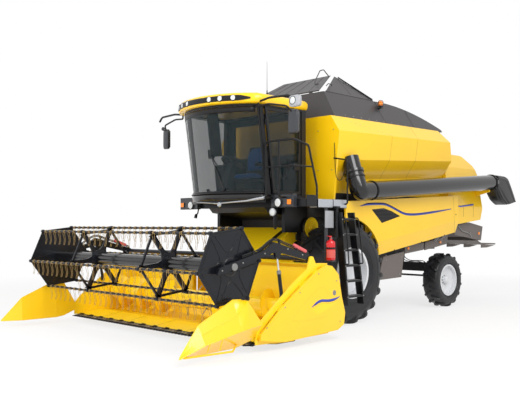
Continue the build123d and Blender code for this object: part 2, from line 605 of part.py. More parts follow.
# -------------------------------------------- straw chopper and spreader board
FINS_X = [-1090, -660, -220, 220, 660, 1090]
with BuildPart() as straw_chopper:
    slab([(3810, 1490), (3900, 1680), (4450, 1740), (5040, 1650), (4960, 1340)], -1230, 1230)
    slab([(3860, 1500), (3930, 1640), (4450, 1690), (4980, 1612), (4920, 1300), (3860, 1450)],
         -1200, 1200, Mode.SUBTRACT)
    bar((-1215, 4450, 1520), (1215, 4450, 1520), 90)
    # arms and cross bar that hang it on the body's rear end
    for hand in (1, -1):
        slab([(BODY_REAR_Y + 10, 1510), (3920, 1560), (3920, 1640), (BODY_REAR_Y + 10, 1600)],
             hand * 1150, hand * 1195)
    slab([(BODY_REAR_Y + RUN, 1520), (3700, 1530), (3700, 1600), (BODY_REAR_Y + RUN, 1590)], -1195, 1195)
    # spreader board and the fins under it
    slab([(4940, 1338), (5225, 1240), (5880, 1230), (5890, 1262), (5235, 1275), (5010, 1352), (4968, 1368)],
         -1100, 1100)
    for x in FINS_X:
        slab([(5225, 1170), (5480, 1170), (5860, 1215), (5225, 1245)], x - 6, x + 6)
save(straw_chopper.part, "straw_chopper")
print("lower machine built")

# ------------------------------------------------------------------ platform
PLATFORM_FRONT_Y = -1330
PLATFORM_LEFT_X = 1620
PLATFORM_UNDER_Z = PLATFORM_Z - PLATFORM_THICKNESS
platform_rear_y = BODY_FRONT_Y - RUN
LADDER_HINGE_X = LADDER_X + 40
LADDER_HINGE_Y = -650
LADDER_HINGE_TOP_Z = 1960
with BuildPart() as platform:
    slab([(PLATFORM_FRONT_Y, PLATFORM_UNDER_Z), (platform_rear_y, PLATFORM_UNDER_Z),
          (platform_rear_y, PLATFORM_Z), (PLATFORM_FRONT_Y, PLATFORM_Z)], -980, PLATFORM_LEFT_X)
    # front beam out to the right-hand light bar
    slab([(PLATFORM_FRONT_Y, 1990), (PLATFORM_FRONT_Y + 60, 1990), (PLATFORM_FRONT_Y + 60, 2090),
          (PLATFORM_FRONT_Y, 2090)], -1400, -970)
    # frame under the cab, back to the body's front
    slab([(-1250, 1900), (platform_rear_y, 1780), (platform_rear_y, PLATFORM_UNDER_Z),
          (PLATFORM_FRONT_Y, PLATFORM_UNDER_Z)], -700, 700)
    for hand in (1, -1):
        slab([(-1000, 1560), (platform_rear_y, 1560), (platform_rear_y, 1990), (-1000, 1990)],
             hand * 780, hand * 850)
    # step boxes along the left edge, and the bracket of the ladder's hinge
    for y0, y1 in ((-1070, -700), (-690, -345)):
        slab([(y0, 1960), (y1, 1960), (y1, 2095), (y0, 2095)], PLATFORM_LEFT_X - 1, PLATFORM_LEFT_X + 20)
    slab([(LADDER_HINGE_Y - 45, LADDER_HINGE_TOP_Z), (LADDER_HINGE_Y + 45, LADDER_HINGE_TOP_Z),
          (LADDER_HINGE_Y + 45, LADDER_HINGE_TOP_Z + 30), (LADDER_HINGE_Y - 45, LADDER_HINGE_TOP_Z + 30)],
         PLATFORM_LEFT_X - 20, LADDER_HINGE_X + 35)
save(platform.part, "platform")

LIGHT_BAR_FRONT_Y = -1410
LIGHT_BAR_TOP_Z = 2182
with BuildPart() as light_bars:
    for hand in (1, -1):
        slab([(LIGHT_BAR_FRONT_Y, 1969), (PLATFORM_FRONT_Y - RUN, 1969),
              (PLATFORM_FRONT_Y - RUN, LIGHT_BAR_TOP_Z), (LIGHT_BAR_FRONT_Y, LIGHT_BAR_TOP_Z)],
             hand * 935, hand * 1423)
        # round headlamp and square indicator lamp
        bar((hand * 1105, LIGHT_BAR_FRONT_Y - 20, 2045), (hand * 1105, LIGHT_BAR_FRONT_Y + 5, 2045), 78)
        slab([(LIGHT_BAR_FRONT_Y - 16, 2010), (LIGHT_BAR_FRONT_Y + 5, 2010), (LIGHT_BAR_FRONT_Y + 5, 2095),
              (LIGHT_BAR_FRONT_Y - 16, 2095)], hand * 1300, hand * 1395)
save(light_bars.part, "light_bars")

# ----------------------------------------------------------------------- cab
# (left, rearwards) of a bowed front's end and middle
SCREEN_FOOT = [(905, -1490), (0, -1930)]
SCREEN_HEAD = [(925, -1690), (0, -2110)]
SCREEN_FOOT_Z = CAB_FLOOR_Z + 40
RING_Z = CAB_TOP_Z - 30
CAB_HALF_REAR = 985
DOOR_FRONT_FOOT_Y = -1400
DOOR_FRONT_HEAD_Y = -1590
DOOR_FOOT_Z = CAB_FLOOR_Z + 12
DOOR_HEAD_Z = CAB_TOP_Z - 42
DOOR_REAR_Y = -735
DOOR_X = 942
DOOR_THICKNESS = 30
DOOR_BORDER = 50
DOOR_AXIS_X = 960
DOOR_HINGE_R = 9
HINGE_PLACES = (0.18, 0.78)  # shares of the door's height
HINGE_SHARE = 0.04


def arc_band(z, ends, thickness):
    """Plan of a bowed panel at height z, from its outer arc inwards."""
    (x, y), (_, y_mid) = ends
    with BuildSketch(level(z), mode=Mode.PRIVATE) as sketch:
        with BuildLine():
            inner_x = x - thickness * 0.5
            ThreePointArc((-x, y), (0, y_mid), (x, y))
            Line((x, y), (inner_x, y + thickness))
            ThreePointArc((inner_x, y + thickness), (0, y_mid + thickness), (-inner_x, y + thickness))
            Line((-inner_x, y + thickness), (-x, y))
        make_face()
    return sketch.sketch


def arc_slab(z, ends, rear_y, rear_x):
    """Plan with a bowed front and straight sides back to rear_y."""
    (x, y), (_, y_mid) = ends
    with BuildSketch(level(z), mode=Mode.PRIVATE) as sketch:
        with BuildLine():
            ThreePointArc((-x, y), (0, y_mid), (x, y))
            Polyline((x, y), (rear_x, rear_y), (-rear_x, rear_y), (-x, y))
        make_face()
    return sketch.sketch


def pillar(foot, head, z0, z1):
    """Leaning pillar between two plan outlines of (left, rearwards) corners."""
    loft([face(level(z0), foot), face(level(z1), head)], ruled=True)


def door_axis(share, behind=0):
    """Point on the door's hinge line at a share of its height, or behind it."""
    y = DOOR_FRONT_FOOT_Y - 6 + (DOOR_FRONT_HEAD_Y - DOOR_FRONT_FOOT_Y) * share
    return (DOOR_AXIS_X, y + behind, DOOR_FOOT_Z + (DOOR_HEAD_Z - DOOR_FOOT_Z) * share)


with BuildPart() as cab_body:
    # floor pan with a bowed front
    extrude(arc_slab(PLATFORM_Z + RUN, [(905, -1480), (0, -1920)], CAB_REAR_Y, CAB_HALF_REAR),
            amount=CAB_FLOOR_Z - PLATFORM_Z - RUN)
    # ring under the roof
    extrude(arc_slab(RING_Z, SCREEN_HEAD, CAB_REAR_Y, CAB_HALF_REAR), amount=CAB_TOP_Z - RING_Z)
    with BuildSketch(level(RING_Z - 10)):
        with Locations((0, -1200)):
            Rectangle(1600, 700)
    extrude(amount=60, mode=Mode.SUBTRACT)
    for hand in (1, -1):
        pillar([(hand * 905, -1470), (hand * 930, -1410), (hand * 870, -1410), (hand * 845, -1460)],
               [(hand * 925, -1670), (hand * 935, -1600), (hand * 880, -1600), (hand * 865, -1650)],
               CAB_FLOOR_Z - 10, CAB_TOP_Z - 20)
        pillar([(hand * 985, -725), (hand * 985, -620), (hand * 900, -620), (hand * 900, -725)],
               [(hand * 985, -725), (hand * 985, -620), (hand * 900, -620), (hand * 900, -725)],
               CAB_FLOOR_Z - 10, CAB_TOP_Z - 20)
    # rear wall with its window opening
    slab([(-660, CAB_FLOOR_Z - 5), (-620, CAB_FLOOR_Z - 5), (-620, RING_Z + 5), (-660, RING_Z + 5)], -910, 910)
    slab([(-700, 2900), (-600, 2900), (-600, 3500), (-700, 3500)], -760, 760, Mode.SUBTRACT)
    # apron round the foot of the windscreen, which stands on its top edge
    loft([arc_band(2050, [(900, -1500), (0, -1945)], 60),
          arc_band(SCREEN_FOOT_Z - RUN, [(915, -1508), (0, -1950)], 46)], ruled=True)
    # fixed halves of the door's hinges
    for share in HINGE_PLACES:
        bar(door_axis(share), door_axis(share + HINGE_SHARE), DOOR_HINGE_R)
        _, y, z = door_axis(share + HINGE_SHARE / 2)
        bar((905, y - 20, z), (DOOR_AXIS_X, y, z), DOOR_HINGE_R - 2)
save(cab_body.part, "cab_body")

ROOF_EDGE = [(1010, -1760), (0, -2215)]
ROOF_CROWN = [(930, -1690), (0, -2120)]
ROOF_EDGE_Z = CAB_TOP_Z + 110
ROOF_CROWN_Z = CAB_TOP_Z + 185
with BuildPart() as cab_roof:
    extrude(arc_slab(CAB_TOP_Z + RUN, ROOF_EDGE, -560, 1010), amount=ROOF_EDGE_Z - CAB_TOP_Z)
    loft([arc_slab(ROOF_EDGE_Z, ROOF_EDGE, -560, 1010), arc_slab(ROOF_CROWN_Z, ROOF_CROWN, -600, 950)],
         ruled=True)
save(cab_roof.part, "cab_roof")

with BuildPart() as cab_glass:
    # windscreen, fixed right window and rear window
    loft([arc_band(SCREEN_FOOT_Z, SCREEN_FOOT, GLASS), arc_band(RING_Z - RUN, SCREEN_HEAD, GLASS)], ruled=True)
    slab([(DOOR_FRONT_FOOT_Y + 4, CAB_FLOOR_Z + RUN), (-725 - RUN, CAB_FLOOR_Z + RUN),
          (-725 - RUN, RING_Z - RUN), (DOOR_FRONT_HEAD_Y + 4, RING_Z - RUN)], -936, -936 - GLASS)
    slab([(-644, 2900 + RUN), (-636, 2900 + RUN), (-636, 3500 - RUN), (-644, 3500 - RUN)],
         -760 + RUN, 760 - RUN)
save(cab_glass.part, "cab_glass")


def door_outline(border):
    """Side outline of the door, moved in by border."""
    return [(DOOR_FRONT_FOOT_Y + 6 + border * 0.9, DOOR_FOOT_Z + border), (DOOR_REAR_Y - border, DOOR_FOOT_Z + border),
            (DOOR_REAR_Y - border, DOOR_HEAD_Z - border), (DOOR_FRONT_HEAD_Y + 6 + border * 1.1, DOOR_HEAD_Z - border)]


with BuildPart() as door_frame:
    slab(door_outline(0), DOOR_X, DOOR_X + DOOR_THICKNESS)
    slab(door_outline(DOOR_BORDER), DOOR_X - 10, DOOR_X + DOOR_THICKNESS + 10, Mode.SUBTRACT)
    for share in HINGE_PLACES:
        start = share + HINGE_SHARE + 0.0003
        bar(door_axis(start), door_axis(start + HINGE_SHARE), DOOR_HINGE_R)
        bar(door_axis(start + HINGE_SHARE / 2), door_axis(start + HINGE_SHARE / 2, 25), DOOR_HINGE_R - 2)
save(door_frame.part, "door_frame")
with BuildPart() as door_glass:
    slab(door_outline(DOOR_BORDER + RUN), DOOR_X + 11, DOOR_X + 11 + GLASS)
save(door_glass.part, "door_glass")

SEAT_PAN_Z = 2480
with BuildPart() as cab_interior:
    # seat's suspension base, pan and back
    slab([(-1120, CAB_FLOOR_Z + RUN), (-860, CAB_FLOOR_Z + RUN), (-900, 2445), (-1140, 2445)], -190, 190)
    slab([(-1200, 2440), (-800, 2440), (-740, 3080), (-765, 3080), (-830, SEAT_PAN_Z), (-1200, SEAT_PAN_Z)],
         -230, 230)
    # steering column and wheel
    slab([(-1620, CAB_FLOOR_Z + RUN), (-1480, CAB_FLOOR_Z + RUN), (-1380, 2700), (-1450, 2740),
          (-1560, 2500)], -60, 60)
    with BuildSketch(Plane((0, FRONT_AXLE_Y - 1400, 2760), z_dir=(0, 0.42, 0.91))):
        Circle(210)
        Circle(178, mode=Mode.SUBTRACT)
        Rectangle(380, 34)
        Rectangle(34, 380)
    extrude(amount=24)
    bar((0, -1415, 2690), (0, -1400, 2770), 30)
    # armrest console on the right of the seat
    slab([(-1300, CAB_FLOOR_Z + RUN), (-800, CAB_FLOOR_Z + RUN), (-800, 2700), (-1150, 2760),
          (-1350, 2740), (-1360, 2660)], -520, -300)
save(cab_interior.part, "cab_interior")
with BuildPart() as seat_cushions:
    slab([(-1215, SEAT_PAN_Z + RUN), (-860, SEAT_PAN_Z + RUN), (-860, 2580), (-1215, 2570)], -240, 240)
    slab([(-900, 2600), (-817.6, 2600), (-765.6, 3080), (-850, 3095)], -230, 230)
save(seat_cushions.part, "seat_cushions")

MIRROR_X = 1600
with BuildPart() as cab_mirrors:
    for hand in (1, -1):
        tube([(hand * 960, -1725, CAB_TOP_Z), (hand * 960, -1725, 3570), (hand * 1540, -1690, 3520),
              (hand * MIRROR_X, -1600, 3300)], 16, 35)
        slab([(-1640, 3050), (-1560, 3050), (-1560, 3420), (-1640, 3420)],
             hand * (MIRROR_X - 100), hand * (MIRROR_X + 100))
    # work lamp over the left mirror
    slab([(-1730, 3440), (-1660, 3440), (-1660, 3570), (-1730, 3570)], 1450, 1610)
save(cab_mirrors.part, "cab_mirrors")
print("cab built")

# --------------------------------------------------- rails, ladder, small gear
RAIL_R = 17
RAIL_Y = -1560
RAIL_TOP_Z = 3020
RAIL_FOOT_Z = 2125
rail_root_y = LIGHT_BAR_FRONT_Y - RUN
with BuildPart() as handrails:
    # front rail from the light bar up, across and down to the platform
    tube([(960, rail_root_y, RAIL_FOOT_Z), (960, RAIL_Y, RAIL_FOOT_Z), (960, RAIL_Y, RAIL_TOP_Z),
          (1570, RAIL_Y, RAIL_TOP_Z), (1590, -1240, 2945), (1600, -1050, 2300),
          (1600, -1050, PLATFORM_Z + RUN)], RAIL_R, 60)
    tube([(960, RAIL_Y, 2610), (1565, RAIL_Y, 2610), (1595, -1140, 2610)], RAIL_R * 0.8, 60)
    tube([(1250, rail_root_y, RAIL_FOOT_Z), (1250, RAIL_Y, RAIL_FOOT_Z), (1250, RAIL_Y, RAIL_TOP_Z)],
         RAIL_R, 60)
    # grab rod beside the ladder's head, from the platform's edge to the tank's front wall
    tube([(PLATFORM_LEFT_X + 20 + RUN, -400, 2030), (1700, -400, 2030), (1700, -400, 2760),
          (1400, -400, 2810), (1400, TANK_FRONT_Y - RUN, 2810)], 13, 35)
save(handrails.part, "handrails")

LADDER_TOP_Z = 1890
LADDER_FOOT_Z = 370
# (rearwards at the top, rearwards at the foot) of the two stiles
LADDER_STILES = [(LADDER_HINGE_Y, -480), (-330, -60)]
STILE = 34
TREAD = 30
with BuildPart() as ladder:
    for y_top, y_foot in LADDER_STILES:
        slab([(y_top, LADDER_TOP_Z), (y_top + STILE, LADDER_TOP_Z), (y_foot + STILE, LADDER_FOOT_Z),
              (y_foot, LADDER_FOOT_Z)], LADDER_X, LADDER_X + LADDER_DEPTH)
    for step in range(LADDER_STEPS):
        share = (step + 0.5) / LADDER_STEPS
        z = LADDER_TOP_Z + (LADDER_FOOT_Z - LADDER_TOP_Z) * share
        y0, y1 = [top + (foot - top) * share + STILE / 2 for top, foot in LADDER_STILES]
        slab([(y0, z), (y1, z), (y1, z + TREAD), (y0, z + TREAD)], LADDER_X, LADDER_X + LADDER_DEPTH)
    # hinge post, hung from the platform's bracket
    bar((LADDER_HINGE_X, LADDER_HINGE_Y, LADDER_TOP_Z - 400),
        (LADDER_HINGE_X, LADDER_HINGE_Y, LADDER_HINGE_TOP_Z - RUN), 22)
save(ladder.part, "ladder")

EXTINGUISHER_Y = -830
with BuildPart() as extinguisher:
    bar((1700, EXTINGUISHER_Y, 1120), (1700, EXTINGUISHER_Y, 1440), 75)
    bar((1700, EXTINGUISHER_Y, 1430), (1700, EXTINGUISHER_Y, 1500), 28)
    # plate hung from the platform's edge, and the strap
    slab([(EXTINGUISHER_Y - 30, 1100), (EXTINGUISHER_Y + 30, 1100), (EXTINGUISHER_Y + 30, PLATFORM_UNDER_Z - RUN),
          (EXTINGUISHER_Y - 30, PLATFORM_UNDER_Z - RUN)], 1590, 1618)
    slab([(EXTINGUISHER_Y - 30, 1300), (EXTINGUISHER_Y + 30, 1300), (EXTINGUISHER_Y + 30, 1330),
          (EXTINGUISHER_Y - 30, 1330)], 1610, 1640)
save(extinguisher.part, "fire_extinguisher")

BEACON_X = 1130
BEACON_Y = 1330
BEACON_FOOT_Z = 3880
with BuildPart() as beacon_and_antenna:
    # bracket out from the extension's sloping wall, stem and lens
    wall_low, wall_high = [extension_plan(z, 0)[1][0] + RUN for z in (BEACON_FOOT_Z, BEACON_FOOT_Z + 12)]
    extrude(face(front(BEACON_Y + 35), [(wall_low, BEACON_FOOT_Z), (wall_high, BEACON_FOOT_Z + 12),
                                        (BEACON_X + 40, BEACON_FOOT_Z + 12), (BEACON_X + 40, BEACON_FOOT_Z)]),
            amount=70)
    bar((BEACON_X, BEACON_Y, BEACON_FOOT_Z + 5), (BEACON_X, BEACON_Y, BEACON_FOOT_Z + 45), 18)
    bar((BEACON_X, BEACON_Y, BEACON_FOOT_Z + 40), (BEACON_X, BEACON_Y, BEACON_FOOT_Z + 140), 50)
    bar((880, -1450, ROOF_CROWN_Z + RUN), (880, -1450, ROOF_CROWN_Z + 60), 12)
    bar((880, -1450, ROOF_CROWN_Z + 50), (880, -1450, 4350), 5)
save(beacon_and_antenna.part, "beacon_and_antenna")

# ------------------------------------------------------------ unloading auger
TURRET_TILT = radians(TURRET_LEAN)


def swing_axis(rise):
    """Point on the unloading tube's swing axis, rise above the tube's front end."""
    return (TUBE_X - rise * sin(TURRET_TILT), TUBE_FRONT_Y, TUBE_FRONT_Z + rise * cos(TURRET_TILT))


def along_tube(distance):
    """Point on the unloading tube's centre line, distance from its front end."""
    return (TUBE_X, TUBE_FRONT_Y + distance * cos(TUBE_CLIMB), TUBE_FRONT_Z + distance * sin(TUBE_CLIMB))


with BuildPart() as auger_turret:
    # fixed elbow out of the tank's side, down to the swing joint
    bar(swing_axis(TURRET_STUB + RUN), swing_axis(TURRET_STUB + 45), TUBE_R + 16)
    bar(swing_axis(TURRET_STUB + 10), swing_axis(TURRET_STUB + 280), TUBE_R - 8)
    upper_body(UPPER_FRONT_Y, 500, -RUN, 0, Mode.SUBTRACT)
save(auger_turret.part, "auger_turret")

SPOUT_HALF = 170
# spout, (rearwards, height) from the tube's far end
SPOUT_OUTLINE = [(-60, 150), (480, 130), (860, -410), (385, -490), (105, -385), (-75, -150)]
tube_end = along_tube(TUBE_LENGTH)
with BuildPart() as unloading_tube:
    bar(along_tube(0), along_tube(TUBE_LENGTH), TUBE_R)
    with Locations((TUBE_X, FRONT_AXLE_Y + TUBE_FRONT_Y, TUBE_FRONT_Z)):
        Sphere(TUBE_R)
    bar(swing_axis(0), swing_axis(TURRET_STUB), TUBE_R)
    bar(along_tube(TUBE_LENGTH - 110), along_tube(TUBE_LENGTH - 86), TUBE_R + 12)
    # spout that turns the crop down
    slab([(tube_end[1] + y, tube_end[2] + z) for y, z in SPOUT_OUTLINE],
         TUBE_X - SPOUT_HALF, TUBE_X + SPOUT_HALF)
save(unloading_tube.part, "unloading_tube")

# -------------------------------------------------------------- feeder house
FEEDER_FRONT_Y = -1620
with BuildPart() as feeder_house:
    slab([(-560, 1640), (-600, 1000), (FEEDER_FRONT_Y, 290), (FEEDER_FRONT_Y, 1020)],
         -FEEDER_HALF_WIDTH, FEEDER_HALF_WIDTH)
    slab([(FEEDER_FRONT_Y - 1, 320), (FEEDER_FRONT_Y - 1, 960), (-700, 1520), (-700, 1010)],
         -FEEDER_HALF_WIDTH + 20, FEEDER_HALF_WIDTH - 20, Mode.SUBTRACT)
    # bored ears at the rear
    for hand in (1, -1):
        slab([(-600, 1380), (-600, 1600), (-480, 1540), (-452, 1500), (-452, 1455), (-480, 1420)],
             hand * (FEEDER_HALF_WIDTH - 60), hand * FEEDER_HALF_WIDTH)
    bar((-FEEDER_HALF_WIDTH - 1, FEEDER_PIVOT_Y, FEEDER_PIVOT_Z),
        (FEEDER_HALF_WIDTH + 1, FEEDER_PIVOT_Y, FEEDER_PIVOT_Z), FEEDER_PIN_R + FIT, Mode.SUBTRACT)
    # lugs each side of the lift cylinders' eyes
    for x in (-LIFT_X, LIFT_X):
        for inner in (x - LIFT_EYE_HALF - LIFT_EYE_GAP - CHEEK, x + LIFT_EYE_HALF + LIFT_EYE_GAP):
            slab([(-1340, 505), (-1180, 615), (-1210, 360), (-1300, 350)], inner, inner + CHEEK)
save(feeder_house.part, "feeder_house")

# -------------------------------------------------------------------- header
# floor and rear wall, drawn round the sheet from the knife to the top beam
HEADER_SHEET = [
    (-3030, 126), (-2620, 176), (-2450, 150), (-2230, 138), (-2010, 190), (-1880, 330),
    (-1810, 560), (-1750, 1060), (-1700, 1060), (-1765, 550), (-1838, 310), (-1985, 158),
    (-2225, 108), (-2450, 122), (-2620, 148), (-3030, 106),
]
END_SHEET_OUTLINE = [(-3100, 110), (-3100, 310), (-2990, 430), (-2400, 870), (-2110, 1050),
                     (-1860, 1140), (-1640, 1130), (-1620, 112), (-2590, 96)]
HEADER_REAR_Y = FEEDER_FRONT_Y - RUN
REEL_PIN_R = 20
REEL_LIFT_X = REEL_ARM_X + 25
REEL_LIFT_BASE = (-2550, 700)
REEL_LIFT_EYE = (-2640, 1250)
REEL_LIFT_PIN_R = 10
REEL_LIFT_BOSS_HALF = 20
END_OUTER_X = HEADER_HALF_WIDTH + END_SHEET
with BuildPart() as header_frame:
    slab(HEADER_SHEET, -HEADER_HALF_WIDTH - 5, HEADER_HALF_WIDTH + 5)
    for z0, z1, y0 in ((960, 1100, -1750), (130, 270, -1900)):
        slab([(y0, z0), (HEADER_REAR_Y, z0), (HEADER_REAR_Y, z1), (y0 + 40, z1)],
             -HEADER_HALF_WIDTH - 5, HEADER_HALF_WIDTH + 5)
    # crop opening into the feeder house
    slab([(-1900, 330), (-1600, 330), (-1600, 900), (-1900, 900)], -620, 620, Mode.SUBTRACT)
    for hand in (1, -1):
        slab(END_SHEET_OUTLINE, hand * HEADER_HALF_WIDTH, hand * END_OUTER_X)
        # bracket and pin of the reel arm, and the pin of the reel's lift cylinder
        slab([(-2080, 1040), (-1880, 1110), (-1945, 1228), (-1965, 1240), (-2005, 1240), (-2025, 1228)],
             hand * (REEL_ARM_X + REEL_ARM_WIDTH + 6), hand * END_OUTER_X)
        bar((hand * (REEL_ARM_X + 14), REEL_PIVOT_Y, REEL_PIVOT_Z),
            (hand * END_OUTER_X, REEL_PIVOT_Y, REEL_PIVOT_Z), REEL_PIN_R)
        bar((hand * (REEL_LIFT_X - REEL_LIFT_BOSS_HALF - 6), *REEL_LIFT_BASE),
            (hand * END_OUTER_X, *REEL_LIFT_BASE), REEL_LIFT_PIN_R)
        # skid under the floor
        slab([(-2950, 118), (-2900, 100), (-2600, 60), (-2250, 60), (-2120, 133), (-2225, 115),
              (-2450, 130), (-2620, 156)], hand * (HEADER_HALF_WIDTH - 237), hand * (HEADER_HALF_WIDTH - 87))
save(header_frame.part, "header_frame")

SHIELD_OUTLINE = [
    (-3070, 170), (-2590, 100), (-1470, 150), (-1330, 220), (-1300, 390), (-1380, 640),
    (-1450, 960), (-1600, 1090), (-1740, 1110), (-1940, 1030), (-2210, 870), (-2660, 570), (-3060, 240),
]
# crop divider's hood: rearwards, then (outwards from the header, height) of its inner foot,
# outer lip, outer top and ridge
DIVIDER_SECTIONS = [
    (-4407, [(59, 100), (83, 102), (83, 124), (69, 124)]),
    (-4080, [(-25, 92), (153, 240), (89, 352), (19, 466)]),
    (-3480, [(-65, 96), (163, 352), (75, 540), (-19, 730)]),
    (-3340, [(-55, 112), (160, 374), (121, 712), (-15, 724)]),
    (-3104, [(-25, 190), (143, 396), (137, 412), (-23, 330)]),
]
DIVIDER_RAIL = [(75, -4340, 113), (115, -3600, 106), (-25, -3400, 152)]
DIVIDER_RAIL_R = 13
with BuildPart() as header_ends:
    for hand in (1, -1):
        slab(SHIELD_OUTLINE, hand * (END_OUTER_X + RUN), hand * SHIELD_OUTER_X)
        loft([face(front(y), [(hand * (HEADER_HALF_WIDTH + out), z) for out, z in points])
              for y, points in DIVIDER_SECTIONS],
             ruled=True)
        # rail under the hood's open outer side
        rail = [(hand * (HEADER_HALF_WIDTH + out), y, z) for out, y, z in DIVIDER_RAIL]
        for start, end in zip(rail, rail[1:]):
            bar(start, end, DIVIDER_RAIL_R)
save(header_ends.part, "header_ends")

KNIFE_Y = -3030
GUARDS = int((2 * HEADER_HALF_WIDTH - 120) / GUARD_PITCH)
GUARD_REACH = 175
with BuildPart() as guard:
    loft([face(front(KNIFE_Y - 55), [(-13, 84), (13, 84), (13, 120), (-13, 120)]),
          face(front(KNIFE_Y - GUARD_REACH), [(-3, 96), (3, 96), (3, 104), (-3, 104)])], ruled=True)
with BuildPart() as knife_bar:
    slab([(KNIFE_Y - 60, 84), (KNIFE_Y - RUN, 92), (KNIFE_Y - RUN, 124), (KNIFE_Y - 60, 112)],
         -HEADER_HALF_WIDTH + 60, HEADER_HALF_WIDTH - 60)
    with GridLocations(GUARD_PITCH, 0, GUARDS, 1):
        add(guard.part)
save(knife_bar.part, "knife_bar")

# header auger: left- and right-hand flights that feed to the middle, and fingers between them
FLIGHT_STEPS = 12
FLIGHT_START_X = 540
FLIGHT_LENGTH = 1680
FLIGHT_THICKNESS = 10
FINGERS = 8
with BuildPart() as header_auger:
    bar((37 - HEADER_HALF_WIDTH, AUGER_Y, AUGER_Z), (HEADER_HALF_WIDTH - 37, AUGER_Y, AUGER_Z), AUGER_TUBE_R)
    bar((-HEADER_HALF_WIDTH + RUN, AUGER_Y, AUGER_Z), (HEADER_HALF_WIDTH - RUN, AUGER_Y, AUGER_Z), 45)
    for hand in (1, -1):
        sections = []
        for step in range(int(FLIGHT_LENGTH / AUGER_PITCH * FLIGHT_STEPS) + 1):
            turn = radians(360 / FLIGHT_STEPS * step)
            x = hand * (FLIGHT_START_X + AUGER_PITCH * step / FLIGHT_STEPS)
            plane = Plane((x, FRONT_AXLE_Y + AUGER_Y, AUGER_Z), x_dir=(1, 0, 0),
                          z_dir=(0, cos(turn), sin(turn)))
            with BuildSketch(plane, mode=Mode.PRIVATE) as blade:
                with Locations((0, (AUGER_FLIGHT_R + AUGER_TUBE_R - 20) / 2)):
                    Rectangle(FLIGHT_THICKNESS, AUGER_FLIGHT_R - AUGER_TUBE_R + 20)
            sections.append(blade.sketch)
        loft(sections, ruled=True)
    for finger in range(FINGERS):
        turn = radians(360 / FINGERS * finger * 3)
        x = -420 + 840 / (FINGERS - 1) * finger
        bar((x, AUGER_Y, AUGER_Z),
            (x, AUGER_Y + AUGER_FLIGHT_R * cos(turn), AUGER_Z + AUGER_FLIGHT_R * sin(turn)), 9)
save(header_auger.part, "header_auger")
print("header built")


# ---------------------------------------------------------------------- reel
def bat_place(number):
    """Centre of tine bar number, as (rearwards, height)."""
    angle = radians(REEL_BAT_PHASE + 360 / REEL_BATS * number)
    return REEL_AXIS_Y - REEL_RADIUS * sin(angle), REEL_AXIS_Z + REEL_RADIUS * cos(angle)


SPIDER_X = [-6 * TINE_PITCH, 6 * TINE_PITCH]
SPIDER_HALF = 5  # half of the spider plate's thickness
SPIDER_RING = 0.88  # inner edge of the ring as a share of its outer edge
ARM_HALF = 34  # half of a spider arm's width
BEARING_R = TINE_BAR_R + 11
REEL_STUB_R = 25
BARS_PLACES = [bat_place(number) for number in range(REEL_BATS)]
with BuildPart() as reel:
    for x in SPIDER_X:
        slab(BARS_PLACES, x - SPIDER_HALF, x + SPIDER_HALF)
    slab([(REEL_AXIS_Y + (y - REEL_AXIS_Y) * SPIDER_RING, REEL_AXIS_Z + (z - REEL_AXIS_Z) * SPIDER_RING)
          for y, z in BARS_PLACES], -REEL_END_X, REEL_END_X, Mode.SUBTRACT)
    # arms from the tube to the bars
    for x in SPIDER_X:
        for y, z in BARS_PLACES:
            out_y, out_z = (y - REEL_AXIS_Y) / REEL_RADIUS, (z - REEL_AXIS_Z) / REEL_RADIUS
            slab([(REEL_AXIS_Y + out_y * out - out_z * aside, REEL_AXIS_Z + out_z * out + out_y * aside)
                  for out, aside in ((0, ARM_HALF), (REEL_RADIUS - 24, ARM_HALF),
                                     (REEL_RADIUS - 24, -ARM_HALF), (0, -ARM_HALF))],
                 x - SPIDER_HALF, x + SPIDER_HALF)
    bar((-REEL_END_X - 20, REEL_AXIS_Y, REEL_AXIS_Z), (REEL_END_X + 20, REEL_AXIS_Y, REEL_AXIS_Z), REEL_TUBE_R)
    bar((-REEL_ARM_X - 40, REEL_AXIS_Y, REEL_AXIS_Z), (REEL_ARM_X + 40, REEL_AXIS_Y, REEL_AXIS_Z), REEL_STUB_R)
    for hand in (1, -1):
        slab(BARS_PLACES, hand * REEL_END_X, hand * (REEL_END_X + REEL_END_THICKNESS))
    # bearings that hold the tine bars
    for y, z in BARS_PLACES:
        for x in [-REEL_END_X] + SPIDER_X + [REEL_END_X]:
            bar((x - 24, y, z), (x + 24, y, z), BEARING_R)
    for y, z in BARS_PLACES:
        bar((-REEL_END_X - 80, y, z), (REEL_END_X + 80, y, z), TINE_BAR_R + RUN, Mode.SUBTRACT)
save(reel.part, "reel")

for number, (y, z) in enumerate(BARS_PLACES, start=1):
    with BuildPart() as tine:
        slab([(y - 3, z), (y + 3, z), (y - 9, z - TINE_LENGTH), (y - 13, z - TINE_LENGTH)], -3, 3)
    with BuildPart() as tine_bar:
        bar((-REEL_END_X - 34, y, z), (REEL_END_X + 34, y, z), TINE_BAR_R)
        with GridLocations(TINE_PITCH, 0, TINES, 1):
            add(tine.part)
    save(tine_bar.part, f"tine_bar_{number}")

